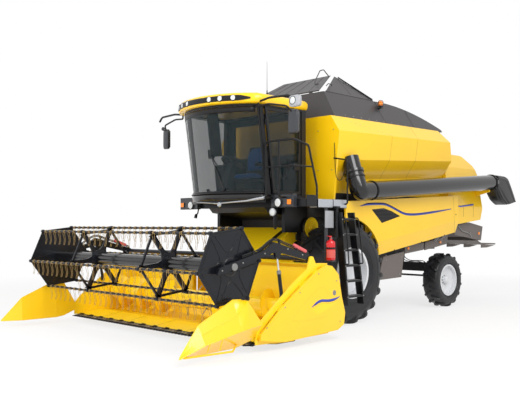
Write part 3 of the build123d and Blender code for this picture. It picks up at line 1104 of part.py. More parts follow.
EAR = 8  # plate thickness of the ears that hold the reel cylinders' eyes
with BuildPart() as reel_arms:
    for hand in (1, -1):
        slab([(-3740, 1070), (-3700, 1145), (-2860, 1360), (-2720, 1455), (-2580, 1420), (-2010, 1262),
              (-1940, 1220), (-1960, 1165), (-2600, 1305), (-2720, 1310), (-2880, 1270), (-3700, 1055)],
             hand * REEL_ARM_X, hand * (REEL_ARM_X + REEL_ARM_WIDTH))
        # bosses of the reel's shaft and of the arm's pivot
        bar((hand * REEL_ARM_X, REEL_AXIS_Y, REEL_AXIS_Z),
            (hand * (REEL_ARM_X + REEL_ARM_WIDTH), REEL_AXIS_Y, REEL_AXIS_Z), 62)
        bar((hand * REEL_ARM_X, REEL_PIVOT_Y, REEL_PIVOT_Z),
            (hand * (REEL_ARM_X + REEL_ARM_WIDTH), REEL_PIVOT_Y, REEL_PIVOT_Z), 50)
        # ears each side of the lift cylinder's eye
        for x in (REEL_ARM_X, REEL_ARM_X + REEL_ARM_WIDTH - EAR):
            slab([(-2705, 1325), (-2575, 1325), (-2610, 1225), (-2670, 1225)], hand * x, hand * (x + EAR))
    # torque tube that keeps the arms level with each other
    bar((-REEL_ARM_X, REEL_PIVOT_Y, REEL_PIVOT_Z), (REEL_ARM_X, REEL_PIVOT_Y, REEL_PIVOT_Z), 38)
    for hand in (1, -1):
        bar((hand * (REEL_ARM_X - 1), REEL_AXIS_Y, REEL_AXIS_Z),
            (hand * (REEL_ARM_X + REEL_ARM_WIDTH + 1), REEL_AXIS_Y, REEL_AXIS_Z),
            REEL_STUB_R + FIT, Mode.SUBTRACT)
        bar((hand * (REEL_ARM_X + 12), REEL_PIVOT_Y, REEL_PIVOT_Z),
            (hand * (REEL_ARM_X + REEL_ARM_WIDTH + 1), REEL_PIVOT_Y, REEL_PIVOT_Z),
            REEL_PIN_R + FIT, Mode.SUBTRACT)
save(reel_arms.part, "reel_arms")


# ------------------------------------------------------------------ cylinders
def cylinder_pair(label, reach_x, base, eye, barrel_r, rod_r, shares, pin_r, boss_half, eye_half):
    """Barrels and rods of two like cylinders between base and eye, as (rearwards, height).

    shares are the bore's start, the rod's start and the barrel's end along the line.
    """
    bore_share, rod_share, barrel_share = shares

    def at(x, share):
        return (x, base[0] + (eye[0] - base[0]) * share, base[1] + (eye[1] - base[1]) * share)

    with BuildPart() as barrels:
        for x in (-reach_x, reach_x):
            bar((x - boss_half, *base), (x + boss_half, *base), barrel_r)
            bar(at(x, 0), at(x, barrel_share), barrel_r)
            bar(at(x, bore_share), at(x, 1), rod_r + RUN, Mode.SUBTRACT)
            bar((x - boss_half - 20, *base), (x + boss_half + 20, *base), pin_r + FIT, Mode.SUBTRACT)
    save(barrels.part, f"{label}_barrels")
    with BuildPart() as rods:
        for x in (-reach_x, reach_x):
            bar(at(x, rod_share), at(x, 1), rod_r)
            bar((x - eye_half, *eye), (x + eye_half, *eye), rod_r * 1.8)
    save(rods.part, f"{label}_rods")


cylinder_pair("lift_cylinder", LIFT_X, LIFT_BASE, LIFT_EYE, 45, 25, (0.12, 0.16, 0.62),
              LIFT_PIN_R, LIFT_BOSS_HALF, LIFT_EYE_HALF)
cylinder_pair("reel_cylinder", REEL_LIFT_X, REEL_LIFT_BASE, REEL_LIFT_EYE, 26, 12, (0.06, 0.17, 0.66),
              REEL_LIFT_PIN_R, REEL_LIFT_BOSS_HALF, 11)
print("all parts written")
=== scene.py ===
"""Looks of a combine harvester with a grain header and a tined reel.

Every point is given as (left, rearwards, height) in metres, with rearwards measured
from the front axle.
"""
import logging
from dataclasses import dataclass, field
from enum import Enum
from math import atan2, copysign, cos, pi, radians, sin, sqrt
from typing import Any, Iterable, Optional, Sequence, Union

import bmesh
import bpy
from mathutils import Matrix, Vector


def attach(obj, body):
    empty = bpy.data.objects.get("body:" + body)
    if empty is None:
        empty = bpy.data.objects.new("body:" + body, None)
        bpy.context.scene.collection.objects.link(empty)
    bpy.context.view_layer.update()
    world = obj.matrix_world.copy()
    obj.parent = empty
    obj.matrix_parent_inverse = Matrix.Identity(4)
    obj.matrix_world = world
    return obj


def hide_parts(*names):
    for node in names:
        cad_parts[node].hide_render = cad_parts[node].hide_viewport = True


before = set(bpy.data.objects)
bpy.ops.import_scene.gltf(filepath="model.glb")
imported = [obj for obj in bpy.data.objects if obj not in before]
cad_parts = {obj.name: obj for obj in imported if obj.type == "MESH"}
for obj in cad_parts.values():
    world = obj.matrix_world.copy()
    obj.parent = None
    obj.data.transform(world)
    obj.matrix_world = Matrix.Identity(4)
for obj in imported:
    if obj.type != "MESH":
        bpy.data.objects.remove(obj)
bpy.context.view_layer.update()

AXLE_Y = -0.742
Point = Sequence[float]
Colour = tuple[float, float, float]
log = logging.getLogger("harvester")
LEFT, BACK, UP = Vector((1, 0, 0)), Vector((0, 1, 0)), Vector((0, 0, 1))
SMALL_BOLT = 0.009


class Slot(str, Enum):
    """Material slots of the record that a piece takes its finish from."""

    YELLOW = "yellow_paint"
    BLACK = "black_paint"
    GREY = "grey_paint"
    PANEL = "dark_panel"
    TYRE = "tyre_rubber"
    RIM = "rim_paint"
    GLASS = "tinted_glass"
    TRIM = "cab_trim"
    CLOTH = "seat_cloth"
    SILVER = "silver_metal"
    RED = "red_paint"
    ORANGE = "orange_lens"
    STEEL = "bright_steel"
    CHROME = "chrome_rod"


# --------------------------------------------------------------------- shader maths
class Value:
    """A number that changes over a surface; arithmetic on it adds Math nodes."""

    def __init__(self, shader: "Shader", socket: bpy.types.NodeSocket) -> None:
        """Wrap socket, an output in shader's tree."""
        self.shader = shader
        self.socket = socket

    def __add__(self, other: "Number") -> "Value":
        """Sum."""
        return self.shader.math("ADD", self, other)

    def __rsub__(self, other: float) -> "Value":
        """Difference from a plain number."""
        return self.shader.math("SUBTRACT", other, self)

    def __mul__(self, other: "Number") -> "Value":
        """Product."""
        return self.shader.math("MULTIPLY", self, other)

    __radd__ = __add__
    __rmul__ = __mul__

    def ramp(self, low: float, high: float) -> "Value":
        """Smooth step from 0 at low to 1 at high.

        Args:
            low: The value that gives 0.
            high: The value that gives 1; it may be under low.

        Returns:
            The stepped value.
        """
        node = self.shader.node("ShaderNodeMapRange", {"interpolation_type": "SMOOTHSTEP"},
                                {0: self, 1: low, 2: high})
        return Value(self.shader, node.outputs[0])


Number = Union[float, Value]


class Shader:
    """Node tree of a material, with its Principled shader, or of the world."""

    def __init__(self, owner: Union[bpy.types.Material, bpy.types.World]) -> None:
        """Start the tree of owner."""
        self.owner = owner
        owner.use_nodes = True
        self.tree = owner.node_tree
        self.tree.nodes.clear()
        if isinstance(owner, bpy.types.World):
            return
        self.output = self.node("ShaderNodeOutputMaterial")
        self.principled = self.node("ShaderNodeBsdfPrincipled")
        self.tree.links.new(self.principled.outputs[0], self.output.inputs["Surface"])
        coordinates = self.node("ShaderNodeTexCoord")
        self.place = coordinates.outputs["Object"]

    def node(self, kind: str, settings: Optional[dict[str, Any]] = None,
             inputs: Optional[dict[Any, Any]] = None) -> bpy.types.Node:
        """Add a node.

        Args:
            kind: Blender's name of the node's type.
            settings: Properties set before the sockets.
            inputs: Values or links by socket name or number.

        Returns:
            The new node.
        """
        node = self.tree.nodes.new(kind)
        for name, value in (settings or {}).items():
            setattr(node, name, value)
        for key, value in (inputs or {}).items():
            self.feed(node.inputs[key], value)
        return node

    def feed(self, socket: bpy.types.NodeSocket, value: Any) -> None:
        """Give socket a link or a value; a colour gets its alpha."""
        if isinstance(value, Value):
            value = value.socket
        if isinstance(value, bpy.types.NodeSocket):
            self.tree.links.new(value, socket)
        elif isinstance(value, tuple) and len(value) == 3 and socket.type == "RGBA":
            socket.default_value = (*value, 1.0)
        else:
            socket.default_value = value

    def math(self, operation: str, *values: Number) -> Value:
        """One Math node on values."""
        node = self.node("ShaderNodeMath", {"operation": operation}, dict(enumerate(values)))
        return Value(self, node.outputs[0])

    def mix(self, share: Number, first: Any, second: Any) -> bpy.types.NodeSocket:
        """Colour between first and second.

        Args:
            share: 0 gives first and 1 gives second.
            first: A colour or a colour socket.
            second: A colour or a colour socket.

        Returns:
            The mixed colour's socket.
        """
        node = self.node("ShaderNodeMix", {"data_type": "RGBA"}, {0: share, 6: first, 7: second})
        return node.outputs[2]

    def stretched(self, scale: Point) -> bpy.types.NodeSocket:
        """Object coordinates multiplied by scale along each axis."""
        node = self.node("ShaderNodeVectorMath", {"operation": "MULTIPLY"}, {0: self.place, 1: tuple(scale)})
        return node.outputs[0]

    def noise(self, scale: float, detail: float = 3.0, stretch: Point = (1, 1, 1)) -> Value:
        """Cloudy noise of scale features to the metre."""
        vector = self.place if tuple(stretch) == (1, 1, 1) else self.stretched(stretch)
        node = self.node("ShaderNodeTexNoise", {}, {"Vector": vector, "Scale": scale, "Detail": detail})
        return Value(self, node.outputs[0])

    def waves(self, scale: float, axis: str, profile: str = "SIN") -> Value:
        """Parallel waves across axis, X, Y or Z."""
        node = self.node("ShaderNodeTexWave", {"bands_direction": axis, "wave_profile": profile},
                         {"Vector": self.place, "Scale": scale})
        return Value(self, node.outputs["Fac"])

    def along(self, axis: int) -> Value:
        """Object coordinate along axis 0, 1 or 2."""
        node = self.node("ShaderNodeSeparateXYZ", {}, {0: self.place})
        return Value(self, node.outputs[axis])

    def edges(self, radius: float) -> tuple[Value, bpy.types.NodeSocket]:
        """Mask of the solid's edges, and the normal that rounds them off."""
        bevel = self.node("ShaderNodeBevel", {"samples": 4}, {"Radius": radius})
        geometry = self.node("ShaderNodeNewGeometry")
        dot = self.node("ShaderNodeVectorMath", {"operation": "DOT_PRODUCT"},
                        {0: bevel.outputs[0], 1: geometry.outputs["Normal"]})
        return (1 - Value(self, dot.outputs["Value"])).ramp(0.02, 0.28), bevel.outputs[0]

    def bump(self, height: Value, depth: float, normal: Any = None) -> bpy.types.NodeSocket:
        """Normal of a surface that stands up by height times depth metres."""
        inputs = {"Height": height, "Distance": depth, "Strength": 1.0}
        if normal is not None:
            inputs["Normal"] = normal
        return self.node("ShaderNodeBump", {}, inputs).outputs[0]

    def set(self, **sockets: Any) -> None:
        """Give the Principled shader's sockets values or links, named with underscores."""
        for name, value in sockets.items():
            self.feed(self.principled.inputs[name.replace("_", " ")], value)


def paint(red: int, green: int, blue: int) -> Colour:
    """Linear colour from display values of 0 to 255."""
    def linear(part: int) -> float:
        """One channel, linear."""
        share = part / 255
        return share / 12.92 if share <= 0.04045 else ((share + 0.055) / 1.055) ** 2.4
    return linear(red), linear(green), linear(blue)


def shaded(colour: Colour, share: float) -> Colour:
    """Colour multiplied by share and kept within range."""
    return tuple(min(1.0, part * share) for part in colour)


FIELD_DUST = paint(168, 150, 118)


# ------------------------------------------------------------------------- finishes
@dataclass(frozen=True)
class Finish:
    """A surface with cloudy colour drift, grain, dust low down and edge colour: worn paint on most finishes, a
    painted highlight on the yellow ones.
    """

    name: str
    slot: Slot
    colour: Colour
    roughness: float = 0.45
    metallic: float = 0.0
    coat: float = 0.0
    drift: float = 0.04
    grain: float = 0.0001
    grain_scale: float = 700.0
    dust: float = 0.12
    wear_and_highlight: float = 0.15
    wear_and_highlight_colour: Colour = (0.45, 0.45, 0.44)
    edge: float = 0.004
    specular: float = 0.5

    def material(self) -> bpy.types.Material:
        """The finish's material, made on its first use."""
        known = bpy.data.materials.get(self.name)
        if known:
            return known
        shader = Shader(bpy.data.materials.new(self.name))
        self.surface(shader)
        return shader.owner

    def tone(self, shader: Shader, broad: Value, fine: Value) -> Any:
        """Colour before dust and wear."""
        cloud = (broad * 0.7 + fine * 0.3).ramp(0.34, 0.66)
        return shader.mix(cloud, shaded(self.colour, 1 - self.drift), shaded(self.colour, 1 + self.drift))

    def relief(self, shader: Shader) -> Value:
        """Height of the surface's grain."""
        return shader.noise(self.grain_scale, 2)

    def surface(self, shader: Shader) -> None:
        """Wire the whole finish.

        Args:
            shader: The material's node tree.
        """
        broad, fine = shader.noise(1.4, 4), shader.noise(38, 5)
        colour = self.tone(shader, broad, fine)
        edge, rounded = shader.edges(self.edge)
        low = shader.along(2).ramp(1.9, 0.1)
        film = fine.ramp(0.48, 0.8) * (low * 0.85 + 0.15) * self.dust
        colour = shader.mix(film, colour, FIELD_DUST)
        # Edge colour: worn paint on most finishes; on the yellow finishes the paler yellow is a painted
        # highlight along the edges.
        worn_and_highlit = edge * shader.noise(24, 4).ramp(0.42, 0.62) * self.wear_and_highlight
        colour = shader.mix(worn_and_highlit, colour, self.wear_and_highlight_colour)
        shader.set(Base_Color=colour, Roughness=fine * 0.1 + film * 0.4 + (self.roughness - 0.05),
                   Metallic=self.metallic, Coat_Weight=self.coat, Coat_Roughness=0.08,
                   Specular_IOR_Level=self.specular,
                   Normal=shader.bump(self.relief(shader), self.grain, rounded))


@dataclass(frozen=True)
class Rubber(Finish):
    """Tyre or hose rubber, browner and duller where soil has ground in."""

    soil: float = 0.35

    def tone(self, shader: Shader, broad: Value, fine: Value) -> Any:
        """Black with soil in a fine cloud."""
        soiled = shader.noise(11, 6).ramp(0.46, 0.7) * self.soil
        return shader.mix(soiled, self.colour, paint(92, 86, 76))


@dataclass(frozen=True)
class Woven(Finish):
    """Seat cloth with crossing threads and a soft sheen."""

    threads: float = 210.0

    def tone(self, shader: Shader, broad: Value, fine: Value) -> Any:
        """Two blues that alternate with the threads."""
        weave = shader.waves(self.threads, "X") * shader.waves(self.threads, "Z")
        return shader.mix(weave * 0.8 + fine * 0.2, shaded(self.colour, 0.72), shaded(self.colour, 1.25))

    def relief(self, shader: Shader) -> Value:
        """Threads that pass over and under each other."""
        return shader.waves(self.threads, "X") + shader.waves(self.threads,
                                                              "Z") + shader.waves(self.threads, "Y")

    def surface(self, shader: Shader) -> None:
        """Cloth, with its sheen."""
        super().surface(shader)
        shader.set(Sheen_Weight=0.35, Sheen_Roughness=0.4)


@dataclass(frozen=True)
class Pane(Finish):
    """Tinted glass that lets most light through, with a faint film of dust."""

    share: float = 0.16

    def surface(self, shader: Shader) -> None:
        """Glass by its alpha."""
        film = shader.noise(7, 5).ramp(0.5, 0.8)
        shader.set(Base_Color=shader.mix(film * 0.06, self.colour, FIELD_DUST), Alpha=film * 0.02 + self.share,
                   Roughness=film * 0.04 + self.roughness, IOR=1.52, Specular_IOR_Level=0.5,
                   Coat_Weight=self.coat)


@dataclass(frozen=True)
class Lens(Finish):
    """Moulded lamp lens with fine flutes."""

    glow: float = 0.0
    flutes: float = 55.0

    def surface(self, shader: Shader) -> None:
        """Plastic or glass with flutes, and a little light of its own."""
        flutes = shader.waves(self.flutes, "X") + shader.waves(self.flutes, "Z")
        shader.set(Base_Color=shader.mix(flutes * 0.4, self.colour, shaded(self.colour, 0.7)), Roughness=flutes
                   * 0.05 + self.roughness, Coat_Weight=self.coat, Coat_Roughness=0.03,
                   Emission_Color=shader.mix(flutes * 0.5, self.colour, shaded(self.colour, 0.6)),
                   Emission_Strength=self.glow, Normal=shader.bump(flutes, 0.0012))


@dataclass(frozen=True)
class Brushed(Finish):
    """Bare or plated metal with fine lines along its length."""

    lines: Point = (1, 40, 40)

    def tone(self, shader: Shader, broad: Value, fine: Value) -> Any:
        """Grey that changes along the brushed lines."""
        streak = shader.noise(30, 4, self.lines)
        return shader.mix(streak.ramp(0.3, 0.7), shaded(self.colour, 0.82), shaded(self.colour, 1.1))

    def relief(self, shader: Shader) -> Value:
        """Fine lines."""
        return shader.noise(60, 3, self.lines)


@dataclass(frozen=True)
class Lagged(Finish):
    """Paint that gives way to a second colour past a place on one axis; on the threshing body the second colour
    is partly black plates and partly painted shade.
    """

    second: Colour = (0.1, 0.1, 0.1)
    axis: int = 2
    start: float = 2.05
    end: float = 2.06

    def tone(self, shader: Shader, broad: Value, fine: Value) -> Any:
        """First colour below the border and second colour past it."""
        first = super().tone(shader, broad, fine)
        other = shader.mix(fine, shaded(self.second, 0.9), shaded(self.second, 1.1))
        return shader.mix(shader.along(self.axis).ramp(self.start, self.end), first, other)


# The paler yellow that the three yellow finishes give their edges is a painted highlight.
YELLOW = Finish("harvest_yellow", Slot.YELLOW, paint(255, 203, 12), 0.32, coat=0.4, drift=0.02, grain=0.00004,
                grain_scale=420, dust=0.04, wear_and_highlight=0.12, wear_and_highlight_colour=paint(255, 226, 120))
# The next two yellows are lighter copies of the harvest yellow: painted light that brightens parts in shade,
# chiefly the header table, feeder house and auger.
YELLOW_PAINTED_LIGHTER = Finish("yellow_with_painted_light", Slot.YELLOW, paint(255, 212, 20), 0.36, coat=0.25, drift=0.03,
                        grain=0.00008, dust=0.02, wear_and_highlight=0.1, wear_and_highlight_colour=paint(236, 206, 110))
AUGER_YELLOW_PAINTED_LIGHTER = Finish("auger_yellow_with_painted_light", Slot.YELLOW, paint(255, 210, 16), 0.3, coat=0.3, drift=0.04,
                      dust=0.02, wear_and_highlight=0.25, wear_and_highlight_colour=paint(226, 200, 120), edge=0.008)
BLACK = Finish("frame_black", Slot.BLACK, paint(18, 19, 22), 0.3, dust=0.01, wear_and_highlight=0.08, specular=0.35)
BLACK_GLOSS = Finish("tube_gloss_black", Slot.BLACK, paint(14, 14, 16), 0.16, coat=0.25, drift=0.08, dust=0.0,
                     wear_and_highlight=0.04)
REEL_BLACK = Finish("reel_black", Slot.BLACK, paint(19, 21, 27), 0.24, drift=0.06, dust=0.0, wear_and_highlight=0.1,
                    wear_and_highlight_colour=paint(96, 100, 110), specular=0.35)
CHASSIS = Finish("chassis_black", Slot.BLACK, paint(20, 20, 22), 0.42, dust=0.04, wear_and_highlight=0.08, specular=0.3)
GREY = Finish("chopper_grey", Slot.GREY, paint(104, 96, 92), 0.5, drift=0.05, dust=0.08, wear_and_highlight=0.12)
GREY_PALE = Finish("spreader_pale_grey", Slot.GREY, paint(164, 166, 170), 0.5, drift=0.05, dust=0.06)
PANEL = Finish("moulded_dark_panel", Slot.PANEL, paint(60, 57, 58), 0.42, drift=0.05, grain=0.0002,
               grain_scale=900, dust=0.04, wear_and_highlight=0.12, wear_and_highlight_colour=paint(120, 118, 116))
PANEL_DEEP = Finish("recess_black", Slot.PANEL, paint(20, 20, 21), 0.7, dust=0.04, wear_and_highlight=0.0)
RUBBER = Rubber("field_tyre_rubber", Slot.TYRE, paint(30, 31, 34), 0.4, grain=0.0003, grain_scale=300,
                dust=0.02, wear_and_highlight=0.12, wear_and_highlight_colour=paint(92, 94, 98), edge=0.008, soil=0.03, specular=0.35)
HOSE = Rubber("hose_rubber", Slot.BLACK, paint(22, 22, 24), 0.34, grain=0.0002, dust=0.0, wear_and_highlight=0.0, soil=0.02,
              specular=0.4)
RIM = Finish("wheel_white", Slot.RIM, paint(218, 220, 223), 0.34, coat=0.3, drift=0.02, dust=0.04, wear_and_highlight=0.08)
GLASS = Pane("tinted_screen", Slot.GLASS, paint(8, 30, 34), 0.03, share=0.36)
TRIM = Finish("cab_trim_plastic", Slot.TRIM, paint(22, 23, 26), 0.38, drift=0.05, grain=0.0002,
              grain_scale=1100, dust=0.0, wear_and_highlight=0.04, wear_and_highlight_colour=paint(80, 80, 82), specular=0.35)
TRIM_GREY = Finish("console_grey_plastic", Slot.TRIM, paint(54, 57, 62), 0.55, grain=0.0003, grain_scale=1100,
                   dust=0.02, wear_and_highlight=0.04)
HOUSING = Finish("mirror_housing", Slot.TRIM, paint(48, 50, 55), 0.3, coat=0.3, grain=0.0002, grain_scale=900,
                 dust=0.02, wear_and_highlight=0.08)
CLOTH = Woven("blue_seat_cloth", Slot.CLOTH, paint(28, 92, 170), 0.85, drift=0.1, grain=0.0006, dust=0.0,
              wear_and_highlight=0.0)
SILVER = Brushed("silver_box", Slot.SILVER, paint(186, 190, 196), 0.34, metallic=0.6, grain=0.00006, dust=0.04)
STEEL = Brushed("worn_steel", Slot.STEEL, paint(150, 150, 148), 0.36, metallic=0.9, grain=0.00008, dust=0.06)
TINE = Brushed("spring_wire", Slot.STEEL, paint(176, 148, 98), 0.36, metallic=0.5, grain=0.00004,
               lines=(20, 20, 1), dust=0.02, wear_and_highlight=0.0)
CHROME = Brushed("chrome", Slot.CHROME, paint(222, 224, 228), 0.12, metallic=1.0, grain=0.00002, dust=0.02,
                 wear_and_highlight=0.0)
RED = Finish("extinguisher_red", Slot.RED, paint(204, 20, 28), 0.26, coat=0.5, drift=0.04, dust=0.02)
RED_SLEEVE = Finish("faded_red_sleeve", Slot.RED, paint(214, 96, 98), 0.55, drift=0.08, dust=0.04, grain=0.0004)
AMBER = Lens("amber_lens", Slot.ORANGE, paint(255, 140, 8), 0.12, coat=0.6, glow=0.25)
RED_LENS = Lens("tail_lens", Slot.RED, paint(190, 20, 16), 0.12, coat=0.6, glow=0.1)
CLEAR = Lens("lamp_lens", Slot.CHROME, paint(226, 230, 232), 0.06, coat=0.8, glow=0.12)
LABEL = Finish("blank_faded_label", Slot.RED, paint(212, 92, 84), 0.5, drift=0.03, dust=0.02, wear_and_highlight=0.0)
BLUE = Finish("blue_stripe_film", Slot.PANEL, paint(20, 70, 200), 0.3, coat=0.3, drift=0.03, dust=0.01,
              wear_and_highlight=0.0)


# ---------------------------------------------------------------------- mesh making
def place(point: Point) -> Vector:
    """Point in the row frame."""
    return Vector((point[0], point[1] + AXLE_Y, point[2]))


def smooth_line(points: Sequence[Point], steps: int = 8) -> list[Vector]:
    """Rounded line through points.

    Args:
        points: The points that the line goes through.
        steps: Pieces between two points.

    Returns:
        The line's points.
    """
    line = [Vector(p) for p in points]
    padded_line = [line[0] * 2 - line[1], *line, line[-1] * 2 - line[-2]]
    result: list[Vector] = []
    for a, b, c, d in zip(padded_line, padded_line[1:], padded_line[2:], padded_line[3:]):
        for step in range(steps):
            t = step / steps
            result.append(0.5 * ((2 * b) + (c - a) * t + (2 * a - 5 * b + 4 * c - d) * t * t
                                 + (3 * b - a - 3 * c + d) * t ** 3))
    return result + [line[-1]]


def hanging_line(route: Sequence[Point]) -> list[Vector]:
    """Points of a smooth spline drawn over route, in the same coordinates."""
    curve = bpy.data.curves.new("route", "CURVE")
    curve.dimensions, curve.resolution_u = "3D", 16
    spline = curve.splines.new("NURBS")
    spline.points.add(len(route) - 1)
    for knot, spot in zip(spline.points, route):
        knot.co = (*spot, 1.0)
    spline.order_u, spline.use_endpoint_u = 3, True
    item = bpy.data.objects.new("route", curve)
    bpy.context.scene.collection.objects.link(item)
    line = [vertex.co.copy() for vertex in bpy.data.meshes.new_from_object(item).vertices]
    bpy.data.objects.remove(item)
    return line


def aside(run: Vector) -> Vector:
    """Direction square to run."""
    return run.cross(UP if abs(run.z) < 0.9 else LEFT).normalized()


def circle(count: int) -> list[tuple[float, float]]:
    """Cosine and sine of count even steps round a circle."""
    return [(cos(2 * pi * k / count), sin(2 * pi * k / count)) for k in range(count)]


def squared(wave: float, power: float) -> float:
    """Sine or cosine pushed out towards a square's side."""
    return copysign(abs(wave) ** power, wave)


def rounded(points: Sequence[Point], radius: float, steps: int = 5) -> list[Vector]:
    """Line with straight runs and corners rounded off by radius."""
    line = [Vector(p) for p in points]
    result = [line[0]]
    for before, corner, after in zip(line, line[1:], line[2:]):
        reach = min(radius, (before - corner).length * 0.45, (after - corner).length * 0.45)
        start = corner + (before - corner).normalized() * reach
        end = corner + (after - corner).normalized() * reach
        for step in range(steps + 1):
            t = step / steps
            result.append(start * (1 - t) ** 2 + corner * 2 * t * (1 - t) + end * t * t)
    return result + [line[-1]]


class Form:
    """A mesh in the making."""

    def __init__(self) -> None:
        """Start with no points."""
        self.points: list[Vector] = []
        self.faces: list[tuple[int, ...]] = []

    def add(self, points: Iterable[Point], faces: Iterable[Sequence[int]]) -> "Form":
        """Add points and the faces between them, counted from 0."""
        base = len(self.points)
        self.points += [Vector(p) for p in points]
        self.faces += [tuple(base + i for i in face) for face in faces]
        return self

    def prism(self, outline: Sequence[Point], reach: Point) -> "Form":
        """Outline pushed along reach into a solid."""
        count = len(outline)
        far = [Vector(p) + Vector(reach) for p in outline]
        sides = [(i, (i + 1) % count, count + (i + 1) % count, count + i) for i in range(count)]
        return self.add([*outline, *far], [tuple(range(count))[::-1], tuple(range(count, 2 * count)), *sides])

    def slab(self, outline: Sequence[Point], left0: float, left1: float) -> "Form":
        """Side outline of (rearwards, height) points, from left0 to left1."""
        return self.prism([(left0, y, z) for y, z in outline], (left1 - left0, 0, 0))

    def box(self, low: Point, high: Point) -> "Form":
        """Block between two corners."""
        (x0, y0, z0), (x1, y1, z1) = low, high
        return self.prism([(x0, y0, z0), (x1, y0, z0), (x1, y1, z0), (x0, y1, z0)], (0, 0, z1 - z0))

    def grid(self, rows: Sequence[Sequence[Point]], wrap: bool = False, ring: bool = False,
             caps: bool = False) -> "Form":
        """Surface through rows of points.

        Args:
            rows: Rows with the same number of points each.
            wrap: Whether each row closes on itself.
            ring: Whether the last row joins the first.
            caps: Whether the first and last rows are filled.

        Returns:
            This form.
        """
        count, wide = len(rows), len(rows[0])
        faces: list[Sequence[int]] = []
        for i in range(count if ring else count - 1):
            j = (i + 1) % count
            for a in range(wide if wrap else wide - 1):
                b = (a + 1) % wide
                faces.append((i * wide + a, i * wide + b, j * wide + b, j * wide + a))
        if caps:
            faces.append(tuple(range(wide))[::-1])
            faces.append(tuple(range((count - 1) * wide, count * wide)))
        return self.add([p for row in rows for p in row], faces)

    def tube(self, path: Sequence[Point], radius: Union[float, Sequence[float]], sides: int = 10,
             closed: bool = False, flat: float = 1.0) -> "Form":
        """Tube along path.

        Args:
            path: The centre line.
            radius: One radius, or one for each point.
            sides: Faces round the tube.
            closed: Whether the tube's end meets its start.
            flat: Share of the radius kept across the tube's second axis.

        Returns:
            This form.
        """
        line = [Vector(p) for p in path]
        radii = [radius] * len(line) if isinstance(radius, (int, float)) else list(radius)
        rows, across = [], None
        for i, point in enumerate(line):
            ahead = line[(i + 1) % len(line)] if closed else line[min(i + 1, len(line) - 1)]
            behind = line[i - 1] if closed else line[max(i - 1, 0)]
            run = (ahead - behind).normalized()
            if across is None:
                across = aside(run)
            across = (across - run * across.dot(run)).normalized()
            second = run.cross(across)
            rows.append([point + (across * c + second * s * flat) * radii[i] for c, s in circle(sides)])
        return self.grid(rows, wrap=True, ring=closed, caps=not closed)

    def lathe(self, centre: Point, axis: Point, profile: Sequence[Point], steps: int = 40) -> "Form":
        """Profile of (along, radius) points turned round axis."""
        run = Vector(axis).normalized()
        across = aside(run)
        second = run.cross(across)
        rows = [[Vector(centre) + run * a + (across * c + second * s) * r for c, s in circle(steps)] for a,
                r in profile]
        return self.grid(rows, wrap=True)

    def bolt(self, spot: Point, outward: Point, size: float = 0.012) -> "Form":
        """Hexagon head on its washer."""
        self.lathe(spot, outward, [(0, size * 1.35), (size * 0.25, size * 1.3), (size * 0.25, 0.0)], 12)
        return self.lathe(spot, outward, [(size * 0.2, size), (size * 0.85, size), (size, size * 0.8),
                                          (size, 0.0)], 6)

    def coil(self, start: Point, end: Point, radius: float, wire: float, turns: float, sides: int = 5,
             steps: int = 12) -> "Form":
        """Spring of wire between two points."""
        a, run = Vector(start), Vector(end) - Vector(start)
        across = aside(run.normalized())
        second = run.normalized().cross(across)
        count = int(turns * steps) + 1
        path = [a + run * (i / (count - 1)) + (across * cos(2 * pi * i / steps) + second
                                               * sin(2 * pi * i / steps)) * radius for i in range(count)]
        return self.tube(path, wire, sides)

    def mirrored(self) -> "Form":
        """The same form on the other side."""
        other = Form()
        other.points = [Vector((-p.x, p.y, p.z)) for p in self.points]
        other.faces = [face[::-1] for face in self.faces]
        return other

    def on(self, hand: int) -> "Form":
        """This form for hand 1, the left, or its mirror image for hand -1."""
        return self if hand > 0 else self.mirrored()

    def join(self, other: "Form") -> "Form":
        """Take in another form."""
        return self.add(other.points, other.faces)

    def make(self, name: str, finish: Finish, body: str = "machine", bevel: float = 0.0, angle: float = 35.0,
             replaces: Sequence[str] = (), thick: float = 0.0) -> bpy.types.Object:
        """Turn the form into a piece.

        Args:
            name: The piece's name.
            finish: Its finish.
            body: The body that it rides on.
            bevel: Width of its rounded edges.
            angle: Degrees past which an edge is sharp.
            replaces: CAD nodes that it stands for.
            thick: Thickness given to an open sheet, inwards.

        Returns:
            The piece.
        """
        mesh = bpy.data.meshes.new(name)
        mesh.from_pydata([place(p) for p in self.points], [], self.faces)
        mesh.validate()
        mesh.polygons.foreach_set("use_smooth", [True] * len(mesh.polygons))
        mesh.set_sharp_from_angle(angle=radians(angle))
        mesh.materials.append(finish.material())
        piece = bpy.data.objects.new(name, mesh)
        bpy.context.scene.collection.objects.link(piece)
        work = bmesh.new()
        work.from_mesh(mesh)
        bmesh.ops.recalc_face_normals(work, faces=work.faces)
        work.to_mesh(mesh)
        work.free()
        if thick:
            solid = piece.modifiers.new("sheet", "SOLIDIFY")
            solid.thickness, solid.offset = thick, -1
        if bevel:
            edge = piece.modifiers.new("edges", "BEVEL")
            edge.width, edge.segments, edge.limit_method = bevel, 2, "ANGLE"
            edge.angle_limit, edge.harden_normals = radians(angle), True
        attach(piece, body)
        if replaces:
            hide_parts(*replaces)
        log.info("piece %s on %s", name, body)
        return piece


def ribbon(line: Sequence[Vector], half: float, start: Point, end: Point) -> Form:
    """Upright stripe along line, tapered at its ends.

    Args:
        line: The stripe's middle.
        half: Half its full width.
        start: Share of the width at the start, and its growth along the line.
        end: The same for the end.

    Returns:
        The stripe.
    """
    rows = []
    for i, spot in enumerate(line):
        share = i / (len(line) - 1)
        rise = UP * (half * min(1.0, start[0] + share * start[1], end[0] + (1 - share) * end[1]))
        rows.append([spot - rise, spot + rise])
    return Form().grid(rows)


